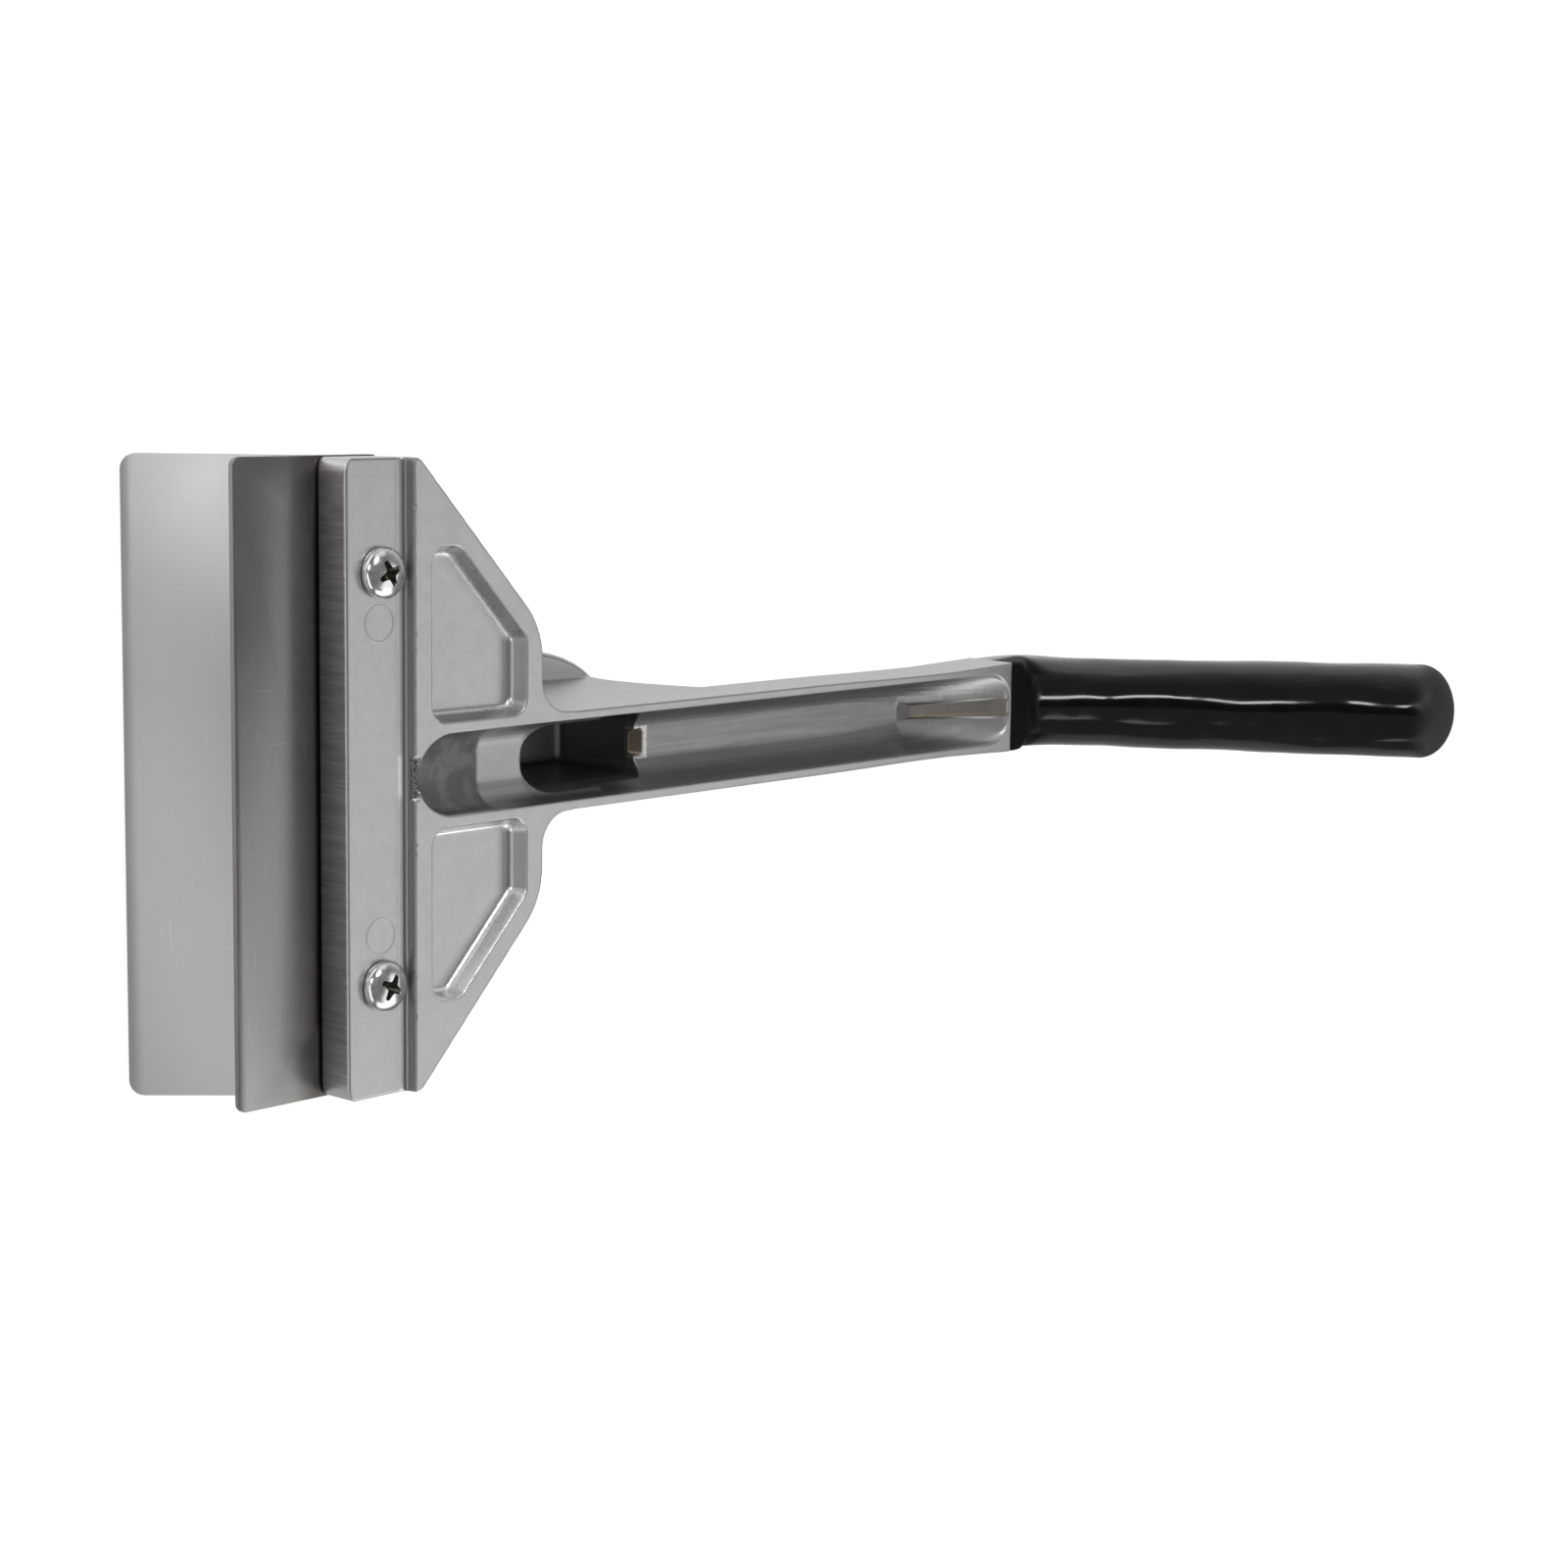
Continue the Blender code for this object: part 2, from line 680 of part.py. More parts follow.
def make_straight_blade(mat):
    rings = []
    tip = -STRAIGHT_OVERHANG
    r = STRAIGHT_CORNER_R
    for reach in [r * (1 - math.cos(math.radians(18 * k))) for k in range(6)] + [BLADE_REAR - tip]:
        half = strip_half(reach, r, HALF)
        s = tip + reach
        section = [(half, 0.0), (-half, 0.0), (-half, -BLADE_THICK), (half, -BLADE_THICK)]
        rings.append([(s, y, N_BLADE + v) for y, v in section])
    blade = loft("straight_blade", rings, mat)
    drill(blade, "straight", N_BLADE - OVER, N_BLADE + OVER)
    return blade


def angled_path():
    """Stations along the near face of the angled blade: position, direction, reach from the tip."""
    turn = ANGLED_RAD
    radius = ANGLED_BEND_R + ANGLED_THICK
    reach = radius * math.tan(turn / 2)
    out = [(BLADE_REAR, N_ANGLED, 0.0, ANGLED_LEG + BLADE_REAR)]
    for k in range(7):
        a = turn * k / 6
        s = reach - radius * math.sin(a)
        out.append((s, N_ANGLED - radius * (1 - math.cos(a)), a, ANGLED_LEG + reach * (1 - 2 * k / 6)))
    r = ANGLED_CORNER_R
    for k in range(6):
        rest = r * (1 - math.sin(math.radians(18 * k)))
        dist = ANGLED_LEG - rest
        out.append((-dist * math.cos(turn), N_ANGLED - dist * math.sin(turn), turn, rest))
    return out


def make_angled_blade(mat):
    rings = []
    for s, n, a, rest in angled_path():
        half = strip_half(rest, ANGLED_CORNER_R, HALF)
        ds = ANGLED_THICK * math.sin(a)
        dn = -ANGLED_THICK * math.cos(a)
        ring = [(s, half, n), (s, -half, n), (s + ds, -half, n + dn), (s + ds, half, n + dn)]
        rings.append(ring)
    blade = loft("angled_blade", rings, mat)
    drill(blade, "angled", N_ANGLED - OVER, N_ANGLED + OVER)
    return blade


def make_clamp_bar(mat):
    half = HALF - CLAMP_END_INSET
    box = [(CLAMP_FRONT, -half), (BLADE_REAR, -half), (BLADE_REAR, half), (CLAMP_FRONT, half)]
    outline = round_corners(box, [CLAMP_CORNER_R] * 4, 5)
    bar = soft_prism("clamp_bar", outline, N_CLAMP - CLAMP_THICK, N_CLAMP, 0.4, mat, 2)
    drill(bar, "clamp", N_CLAMP - CLAMP_THICK - OVER, N_CLAMP + OVER)
    return bar


# Screws, washers, nuts

def screw_rings(y):
    sides = 40
    low = GAP
    profile = [(SHANK_D / 2 - 0.6, N_NUT - NUT_THICK - SHANK_TAIL), (SHANK_D / 2, N_NUT - NUT_THICK - SHANK_TAIL + 0.6)]
    profile += [(SHANK_D / 2, low), (HEAD_D / 2 - 0.2, low), (HEAD_D / 2, low + 0.2)]
    for k in range(0, 7):
        a = math.radians(15 * k)
        r = HEAD_D / 2 - 3.0 * (1 - math.cos(a))
        profile.append((r, low + HEAD_RIM + (HEAD_H - HEAD_RIM - 0.35) * math.sin(a)))
    profile += [(HEAD_D / 2 - 4.6, low + HEAD_H - 0.1)]
    return [[(SCREW_S + x, y + v, n) for x, v in arc(0, 0, r, 0, 360 - 360 / sides, sides - 1)] for r, n in profile]


def make_recess(name, y, along):
    """One bar of the cross-shaped recess, narrowing with depth."""
    top = GAP + HEAD_H
    rings = []
    for n, scale in ((top + 1.0, 1.12), (top, 1.0), (top - RECESS_DEPTH, 0.55)):
        a = RECESS_L / 2 * scale
        b = RECESS_W / 2 * (0.6 + 0.4 * scale)
        box = [(-a, -b), (a, -b), (a, b), (-a, b)]
        if along:
            box = [(-v, u) for u, v in box]
        rings.append([(SCREW_S + u, y + v, n) for u, v in box])
    return loft(name, rings)


def make_screw(tag, side, mat):
    y = side * SCREW_Y
    screw = loft("screw_" + tag, screw_rings(y), mat)
    cut(screw, make_recess("cutter_recess_a_" + tag, y, False))
    cut(screw, make_recess("cutter_recess_b_" + tag, y, True))
    return screw


def make_lock_washer(tag, side, mat):
    y = side * SCREW_Y
    half_gap = math.degrees(math.asin(WASHER_SPLIT / WASHER_D))
    rings = []
    inner = HOLE_D / 2
    for x, v in arc(0, 0, 1.0, half_gap, 360 - half_gap, 40):
        ring = []
        for r, n in ((inner, N_WASHER), (WASHER_D / 2, N_WASHER), (WASHER_D / 2, N_WASHER - WASHER_THICK),
                     (inner, N_WASHER - WASHER_THICK)):
            ring.append((SCREW_S + x * r, y + v * r, n))
        rings.append(ring)
    return loft("lock_washer_" + tag, rings, mat)


def make_nut(tag, side, mat):
    y = side * SCREW_Y
    corner = NUT_FLATS / math.sqrt(3)
    low = N_NUT - NUT_THICK
    hexagon = [(SCREW_S + x, y + v) for x, v in arc(0, 0, corner, 0, 300, 5)]
    nut = prism("nut_" + tag, hexagon, low, N_NUT, mat)
    rings = []
    for r, n in ((NUT_FLATS / 2 - 0.2, low - 0.01), (corner + 0.3, low + NUT_CHAMFER + 0.3),
                 (corner + 0.3, N_NUT - NUT_CHAMFER - 0.3), (NUT_FLATS / 2 - 0.2, N_NUT + 0.01)):
        rings.append([(SCREW_S + x, y + v, n) for x, v in arc(0, 0, r, 0, 351, 39)])
    combine(nut, loft("cutter_nut_round_" + tag, rings), "INTERSECT")
    cut(nut, cylinder("cutter_nut_bore_" + tag, SCREW_S, y, HOLE_D, low - OVER, N_NUT + OVER))
    return nut


# Grip sleeve

def make_grip(mat):
    outer = grip_rings(0.0)
    inner = list(reversed(grip_rings(GRIP_WALL)))
    return loft_shell("dipped_grip", outer, inner, mat)


def loft_shell(name, outer, inner, mat):
    """Hollow body closed at its far end and open at the mouth."""
    rings = outer + inner
    count = len(rings[0])
    verts = [p for ring in rings for p in ring]
    faces = []
    last = len(outer) - 1
    for i in range(len(rings)):
        if i == last:
            continue
        nxt = (i + 1) % len(rings)
        for j in range(count):
            k = (j + 1) % count
            faces.append((i * count + j, i * count + k, nxt * count + k, nxt * count + j))
    faces.append(tuple(range(last * count, (last + 1) * count)))
    faces.append(tuple(range((last + 1) * count, (last + 2) * count)))
    return add_object(name, verts, faces, mat)


def centre_row(nodes):
    """Place the whole object on the ground plane with its box centred on the origin."""
    bpy.context.view_layer.update()
    graph = bpy.context.evaluated_depsgraph_get()
    corners = []
    for ob in nodes:
        mesh = ob.evaluated_get(graph).to_mesh()
        for i in range(3):
            values = [v.co[i] for v in mesh.vertices]
            corners.append((i, min(values), max(values)))
        ob.evaluated_get(graph).to_mesh_clear()
    low = [min(c[1] for c in corners if c[0] == i) for i in range(3)]
    high = [max(c[2] for c in corners if c[0] == i) for i in range(3)]
    shift = (-(low[0] + high[0]) / 2, -(low[1] + high[1]) / 2, -low[2])
    for ob in bpy.data.objects:
        ob.location = shift


def build():
    clear_scene()
    aluminium = make_material("cast_aluminium", (0.62, 0.63, 0.64), 1.0, 0.42)
    vinyl = make_material("black_vinyl", (0.012, 0.012, 0.013), 0.0, 0.22)
    steel = make_material("blade_steel", (0.56, 0.56, 0.55), 1.0, 0.34)
    flat_steel = make_material("clamp_steel", (0.5, 0.5, 0.5), 1.0, 0.4)
    plated = make_material("plated_steel", (0.66, 0.66, 0.67), 1.0, 0.25)
    nodes = [make_cast_body(aluminium), make_grip(vinyl)]
    nodes += [make_straight_blade(steel), make_angled_blade(steel), make_clamp_bar(flat_steel)]
    for side, tag in ((1, "left"), (-1, "right")):
        nodes.append(make_screw(tag, side, plated))
        nodes.append(make_lock_washer(tag, side, plated))
        nodes.append(make_nut(tag, side, plated))
    centre_row(nodes)


build()
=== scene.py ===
import bpy
import bmesh
import math
from mathutils import Matrix, Vector, noise


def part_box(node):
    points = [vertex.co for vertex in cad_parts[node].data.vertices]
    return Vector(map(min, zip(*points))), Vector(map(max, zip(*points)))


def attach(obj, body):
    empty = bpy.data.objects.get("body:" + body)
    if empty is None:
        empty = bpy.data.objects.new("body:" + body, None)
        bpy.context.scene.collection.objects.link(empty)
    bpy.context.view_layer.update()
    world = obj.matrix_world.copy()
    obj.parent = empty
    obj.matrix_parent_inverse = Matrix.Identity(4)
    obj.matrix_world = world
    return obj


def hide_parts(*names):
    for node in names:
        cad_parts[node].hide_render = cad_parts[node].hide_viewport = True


# Visual model of the grill scraper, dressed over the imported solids.
# Lengths are metres in the row frame; MM turns millimetres of the sketch into metres.

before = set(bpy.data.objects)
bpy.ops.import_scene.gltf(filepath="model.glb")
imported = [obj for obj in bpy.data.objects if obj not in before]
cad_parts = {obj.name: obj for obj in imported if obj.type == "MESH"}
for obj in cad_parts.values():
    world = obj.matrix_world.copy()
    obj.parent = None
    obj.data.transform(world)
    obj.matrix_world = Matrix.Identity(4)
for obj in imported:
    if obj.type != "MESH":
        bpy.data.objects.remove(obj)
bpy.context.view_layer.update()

MM = 0.001

# Where the bar's front face and the ledge face lie in the row frame
BLADE_OVERHANG = 24.2 * MM
BLADE_DEPTH = 10.5 * MM
BLADE_LOW, BLADE_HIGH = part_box("straight_blade")
FRONT_X = BLADE_LOW.x + BLADE_OVERHANG
LEDGE_Z = BLADE_HIGH.z + BLADE_DEPTH

# Camera, fitted to the photograph's outlines
CAMERA_S, CAMERA_Y, CAMERA_N = -461.2, 100.4, 552.0
CAMERA_RIGHT = Vector((0.67021, 0.01362, 0.74205))
CAMERA_UP = Vector((0.09283, 0.99044, -0.10203))
CAMERA_LENS = 70.82
SENSOR = 36.0

# Sizes of the casting that the details follow, in millimetres
STEP_S = 18.47
STEP_DRAFT = 0.35
CHIP_HALF = 5.4
MARK_S, MARK_Y, MARK_R = 10.0, 37.2, 4.3
BOWL_END = 46.2
SHELF_END = 60.8
LIP_START, LIP_END, LIP_HALF = 106.3, 110.0, 3.7
RIB_START, RIB_END, RIB_HALF = 216.3, 246.2, 2.6
VOXEL = 0.3 * MM
CORE_SLACK = 1.5
CORE_START = 2.0
CORE_FADE = 2.5

# Brightness of the studio's walls and ceiling
WALL_LEVEL = 0.5
CEILING_LEVEL = 0.2
FLAG_SIDE = (-0.80, 0.10, 0.59)

# Grip, in millimetres
ARM_LENGTH = 248.2
ARM_MIDDLE = -6.0
ARM_HEIGHT = 17.8
ARM_BASE_R = 2.4
GRIP_LEAD = 17.4
GRIP_LENGTH = 125.6
GRIP_ANGLE = math.radians(55.0)
GRIP_BEND_R = 23.0
GRIP_MORPH = 42.0
GRIP_RISE = 15.0
GRIP_HUG = 3.2
GRIP_MOUTH_HALF = 13.3
GRIP_BEND_SWELL = 0.35
GRIP_D_START = 26.4
GRIP_D_END = 27.8
GRIP_DOME = 10.0
GRIP_DOME_POWER = 2.0
GRIP_EASE = 14
GRIP_WALL = 2.0
GRIP_LIP = 0.7
GRIP_RIPPLE = 0.42
GRIP_SWELL_AT = 13.0
GRIP_TOP_R = 1.1
GRIP_TOP_MORPH = 18.0
GRIP_QUARTER = 22

# Screws, in millimetres
HEAD_D = 12.4
HEAD_H = 3.6
HEAD_RIM = 0.9
SHANK_D = 6.35
THREAD_PITCH = 1.27
THREAD_DEPTH = 0.55
THREAD_LENGTH = 20.0
RECESS_ARM = ((3.3, -0.62), (3.45, -0.35), (3.45, 0.35), (3.3, 0.62), (1.75, 0.8), (1.35, 0.98), (1.1, 1.1))
TURN_LEFT, TURN_RIGHT = 27.0, 62.0

# Lamps: name, direction from the object, distance, width, height in metres, brightness
SOFT_BOXES = (
    ("far_side", (0.56, -0.28, 0.8), 1.6, 1.6, 0.8, 1.03),
    ("low_side", (0.3, -0.8, 0.52), 1.6, 1.6, 0.75, 1.5),
    ("strobe", (-0.77, 0.34, 0.54), 1.7, 0.17, 0.42, 13.0),
    ("spot", (-0.16, 0.56, 0.81), 1.7, 0.36, 0.36, 11.0),
    ("low_card", (-0.7, 0.7, 0.12), 0.62, 0.4, 0.14, 1.4),
    ("near_side", (0.1, 0.8, 0.6), 1.6, 1.1, 0.7, 0.6),
)
CARD_PLACE = (-0.62, -0.27, 0.35)
CARD_TARGET = (-0.185, -0.06, 0.02)
CARD_WIDTH, CARD_HEIGHT, CARD_LEVEL = 0.75, 0.2, 1.6
LAMP_AIM = (0.0, 0.0, 0.03)

# Floor
FLOOR_HALF = 4.0
FLOOR_DROP = 0.0006
FLOOR_LIFT = 0.73
FLOOR_SHEEN = (-0.2, 0.2, 0.05, 0.78)
HOOD_EDGE = (0.955, 0.985, 1.0, 0.12)


def at(s, y, n):
    """Point from millimetres along the arm, across it and above the ledge face."""
    return Vector((FRONT_X + s * MM, y * MM, LEDGE_Z + n * MM))


def smooth(t):
    """Soft step from 0 to 1."""
    t = max(0.0, min(1.0, t))
    return t * t * (3 - 2 * t)


def blend(a, b, t):
    """Value the share t of the way from a to b."""
    return a + (b - a) * t


def station_x(s):
    """X of a station, in millimetres from the bar's front face."""
    return FRONT_X + s * MM


def level_z(n):
    """Z of a level, in millimetres above the ledge."""
    return LEDGE_Z + n * MM


# Materials

def soft_step(nodes, links, value, limits):
    """Smooth change of a value; limits are its low and high place and the result at each."""
    node = nodes.new("ShaderNodeMapRange")
    node.interpolation_type = "SMOOTHSTEP"
    for key, number in zip(("From Min", "From Max", "To Min", "To Max"), limits):
        node.inputs[key].default_value = number
    links.new(value, node.inputs["Value"])
    return node.outputs["Result"]


class Shader:
    """Small helper that builds one node material."""

    def __init__(self, name, colour, metallic, roughness):
        self.mat = bpy.data.materials.new(name)
        self.mat.use_nodes = True
        self.nodes = self.mat.node_tree.nodes
        self.links = self.mat.node_tree.links
        self.bsdf = self.nodes["Principled BSDF"]
        self.bsdf.inputs["Base Color"].default_value = (*colour, 1.0)
        self.bsdf.inputs["Metallic"].default_value = metallic
        self.bsdf.inputs["Roughness"].default_value = roughness
        self.place = self.nodes.new("ShaderNodeTexCoord").outputs["Object"]

    def link(self, a, b):
        """Join two sockets."""
        self.links.new(a, b)

    def stretched(self, scale, rotation=(0.0, 0.0, 0.0)):
        """Object coordinates with a scale for each axis."""
        node = self.nodes.new("ShaderNodeMapping")
        node.inputs["Scale"].default_value = scale
        node.inputs["Rotation"].default_value = rotation
        self.link(self.place, node.inputs["Vector"])
        return node.outputs["Vector"]

    def noise(self, scale, detail=3.0, rough=0.55, vector=None):
        """Noise from 0 to 1."""
        node = self.nodes.new("ShaderNodeTexNoise")
        node.inputs["Scale"].default_value = scale
        node.inputs["Detail"].default_value = detail
        node.inputs["Roughness"].default_value = rough
        self.link(vector or self.place, node.inputs["Vector"])
        return node.outputs["Fac"]

    def ramp(self, value, low, high, out_low=0.0, out_high=1.0):
        """Soft step of a value between two limits."""
        return soft_step(self.nodes, self.links, value, (low, high, out_low, out_high))

    def math(self, operation, a, b=None):
        """One sum on sockets or plain numbers."""
        node = self.nodes.new("ShaderNodeMath")
        node.operation = operation
        for i, value in enumerate((a, b)):
            if value is None:
                continue
            if isinstance(value, (int, float)):
                node.inputs[i].default_value = value
            else:
                self.link(value, node.inputs[i])
        return node.outputs["Value"]

    def mix(self, factor, a, b):
        """Colour a where the factor is 0, colour b where it is 1."""
        node = self.nodes.new("ShaderNodeMix")
        node.data_type = "RGBA"
        node.clamp_factor = True
        self.link(factor, node.inputs["Factor"])
        for key, value in (("A", a), ("B", b)):
            socket = [i for i in node.inputs if i.name == key and i.type == "RGBA"][0]
            if isinstance(value, tuple):
                socket.default_value = (*value, 1.0)
            else:
                self.link(value, socket)
        return [o for o in node.outputs if o.type == "RGBA"][0]

    def axes(self, source=None):
        """The three parts of a vector."""
        node = self.nodes.new("ShaderNodeSeparateXYZ")
        self.link(source or self.place, node.inputs["Vector"])
        return node.outputs["X"], node.outputs["Y"], node.outputs["Z"]

    def normal(self):
        """Surface direction in object axes."""
        for node in self.nodes:
            if node.type == "TEX_COORD":
                return node.outputs["Normal"]

    def bump(self, height, strength, distance, before=None):
        """Fine relief, on top of an earlier one."""
        node = self.nodes.new("ShaderNodeBump")
        node.inputs["Strength"].default_value = strength
        node.inputs["Distance"].default_value = distance
        self.link(height, node.inputs["Height"])
        if before:
            self.link(before, node.inputs["Normal"])
        return node.outputs["Normal"]

    def finish(self, colour=None, roughness=None, normal=None):
        """Plug the results into the surface and hand over the material."""
        for value, key in ((colour, "Base Color"), (roughness, "Roughness"), (normal, "Normal")):
            if value:
                self.link(value, self.bsdf.inputs[key])
        return self.mat


def cast_metal():
    """Tumbled aluminium casting: fine grain, edges lightened partly by rubbed wear and partly as painted
    highlight, painted shade in the trough and well, painted highlights in the pockets and at the step,
    scratched sawn front face.
    """
    sh = Shader("cast_aluminium_look", (0.48, 0.48, 0.478), 1.0, 0.4)
    grain = sh.noise(1300.0, 4.0, 0.6)
    cloud = sh.noise(45.0, 3.0, 0.5)
    patch = sh.noise(330.0, 3.0, 0.5)
    x, y, z = sh.axes()
    nx, ny, nz = sh.axes(sh.normal())
    geometry = sh.nodes.new("ShaderNodeNewGeometry")

    tone = sh.mix(sh.ramp(cloud, 0.3, 0.7), (0.472, 0.472, 0.469), (0.488, 0.488, 0.487))
    tone = sh.mix(sh.ramp(grain, 0.4, 0.75, 0.0, 0.6), tone, (0.435, 0.433, 0.429))

    # Inside of the trough and the well: painted shade, darker streaked tones, with the bowl painted darker
    # still and the shelf painted lighter as a painted reflection
    inside = sh.math("MULTIPLY", sh.ramp(z, level_z(2.4), level_z(0.6)),
                     sh.ramp(sh.math("ABSOLUTE", y), 10.9 * MM, 10.3 * MM))
    reach = sh.math("MULTIPLY", sh.ramp(x, station_x(18.9), station_x(19.6)),
                    sh.ramp(x, station_x(246.0), station_x(222.0)))
    inside = sh.math("MULTIPLY", inside, reach)
    inside = sh.math("MULTIPLY", inside, sh.ramp(z, level_z(-14.6), level_z(-12.6), 0.0, 1.0))
    streak = sh.noise(1.0, 4.0, 0.6, sh.stretched((24.0, 420.0, 200.0)))
    trough_painted_tone = sh.mix(sh.ramp(streak, 0.3, 0.7), (0.27, 0.267, 0.262), (0.37, 0.367, 0.36))
    wander = sh.math("SUBTRACT", sh.noise(190.0, 3.0, 0.6), 0.5)
    drift = sh.math("ADD", x, sh.math("MULTIPLY", wander, 3.0 * MM))
    bowl = sh.ramp(drift, station_x(BOWL_END + 0.6), station_x(BOWL_END - 1.2))
    shelf = sh.math("MULTIPLY", sh.math("SUBTRACT", 1.0, bowl),
                    sh.ramp(x, station_x(SHELF_END + 0.8), station_x(SHELF_END - 0.2)))
    bowl_painted_shade = sh.mix(sh.ramp(sh.noise(150.0, 4.0, 0.6), 0.38, 0.62),
                   (0.14, 0.139, 0.137), (0.25, 0.248, 0.244))
    trough_painted_tone = sh.mix(bowl, trough_painted_tone, bowl_painted_shade)
    trough_painted_tone = sh.mix(shelf, trough_painted_tone, (0.44, 0.438, 0.43))
    tone = sh.mix(sh.math("MULTIPLY", inside, 0.85), tone, trough_painted_tone)
    # Lower part of the well given an even dark tone, as painted shade
    deep = sh.math("MULTIPLY", sh.ramp(z, level_z(-12.2), level_z(-14.4)),
                   sh.ramp(sh.math("ABSOLUTE", y), 9.6 * MM, 9.0 * MM))
    deep = sh.math("MULTIPLY", deep, sh.ramp(nz, -0.55, -0.35))
    deep = sh.math("MULTIPLY", deep, sh.math("MULTIPLY", sh.ramp(x, station_x(58.0), station_x(60.0)),
                                             sh.ramp(x, station_x(111.0), station_x(110.2))))
    tone = sh.mix(deep, tone, (0.34, 0.334, 0.324))
    stained, lip_painted_highlight = cast_lip(sh, x, y, z)
    tone = sh.mix(lip_painted_highlight, tone, (0.75, 0.735, 0.71))
    tone = sh.mix(stained, tone, (0.2, 0.165, 0.13))
    # Rib on the ramp: darker brown top, and a thin painted highlight line along it
    rib, line = cast_rib(sh, x, y, z, nz)
    tone = sh.mix(rib, tone, (0.3, 0.282, 0.262))
    tone = sh.mix(line, tone, (0.5, 0.38, 0.22))

    # Sawn front face of the bar, with chatter lines across its thickness
    front = sh.math("MULTIPLY", sh.ramp(nx, -0.72, -0.95), sh.ramp(x, station_x(1.4), station_x(0.6)))
    lines = sh.noise(1.0, 4.0, 0.7, sh.stretched((90.0, 2300.0, 120.0), (0.16, 0.0, 0.0)))
    chatter = sh.noise(1.0, 3.0, 0.6, sh.stretched((100.0, 700.0, 60.0), (-0.1, 0.0, 0.0)))
    marks = sh.math("MULTIPLY", lines, chatter)
    dark = sh.mix(sh.ramp(marks, 0.12, 0.42), (0.52, 0.505, 0.5), (0.72, 0.71, 0.7))
    tone = sh.mix(front, tone, dark)

    # Convex edges lightened: partly rubbed wear, partly painted highlight along the rims
    wear_and_highlight = geometry.outputs["Pointiness"]
    edge = sh.math("MULTIPLY", sh.ramp(wear_and_highlight, 0.54, 0.64),
                   sh.ramp(sh.noise(420.0, 3.0, 0.6), 0.25, 0.55, 0.35, 1.0))
    edge = sh.math("MULTIPLY", edge, sh.math("SUBTRACT", 1.0, inside))
    tone = sh.mix(sh.math("MULTIPLY", edge, 0.75), tone, (0.85, 0.85, 0.85))
    # Pockets: walls, their foot fillet and the rim facing away painted lighter as painted highlights, more
    # on the upper side than the lower
    wall, foot, far_rim_highlight = cast_pocket(sh, x, y, z, nx, ny, nz)
    lower = sh.ramp(y, 1.0 * MM, -1.0 * MM)
    tone = sh.mix(wall, tone, sh.mix(lower, (0.5, 0.496, 0.488), (0.84, 0.835, 0.825)))
    tone = sh.mix(foot, tone, sh.mix(lower, (0.72, 0.72, 0.715), (0.97, 0.97, 0.965)))
    tone = sh.mix(far_rim_highlight, tone, (0.98, 0.98, 0.98))
    # Step: riser painted darker as painted shade, strip in front of it painted lighter as a painted
    # highlight
    riser, strip = cast_step(sh, x, z)
    tone = sh.mix(strip, tone, (0.68, 0.68, 0.68))
    tone = sh.mix(riser, tone, (0.28, 0.27, 0.26))
    chip, shine = cast_chip(sh, x, y, z)
    tone = sh.mix(chip, tone, (0.16, 0.155, 0.15))
    tone = sh.mix(shine, tone, (0.92, 0.92, 0.92))

    rough = sh.ramp(patch, 0.25, 0.75, 0.35, 0.39)
    rough = sh.math("ADD", rough, sh.math("MULTIPLY", inside, 0.06))
    rough = sh.math("SUBTRACT", rough, sh.math("MULTIPLY", edge, 0.12))
    sparkle = sh.ramp(sh.noise(1500.0, 2.0, 0.6), 0.4, 0.62)
    rough = sh.math("SUBTRACT", rough, sh.math("MULTIPLY", sh.math("MULTIPLY", wall, sparkle), 0.1))
    bumps = sh.bump(grain, 0.1, 0.08 * MM)
    bumps = sh.bump(patch, 0.025, 0.2 * MM, bumps)
    bumps = sh.bump(sh.math("MULTIPLY", marks, front), 0.32, 0.12 * MM, bumps)
    bumps = sh.bump(sh.math("MULTIPLY", sh.noise(260.0, 4.0, 0.7), inside), 0.35, 0.3 * MM, bumps)
    across = sh.math("SUBTRACT", sh.math("ABSOLUTE", y), MARK_Y * MM)
    along = sh.math("SUBTRACT", x, FRONT_X + MARK_S * MM)
    away = sh.math("ADD", sh.math("MULTIPLY", across, across), sh.math("MULTIPLY", along, along))
    away = sh.math("SQRT", away)
    ring = sh.math("ABSOLUTE", sh.math("SUBTRACT", away, MARK_R * MM))
    mark = sh.ramp(ring, 0.08 * MM, 0.3 * MM, 1.0, 0.0)
    mark = sh.math("MULTIPLY", mark, sh.ramp(nz, 0.8, 0.95))
    bumps = sh.bump(mark, 0.4, 0.1 * MM, bumps)
    return sh.finish(tone, rough, bumps)


def band(sh, value, low, high, soft):
    """One between two places along an axis, zero beyond them."""
    return sh.math("MULTIPLY", sh.ramp(value, low - soft, low), sh.ramp(value, high + soft, high))


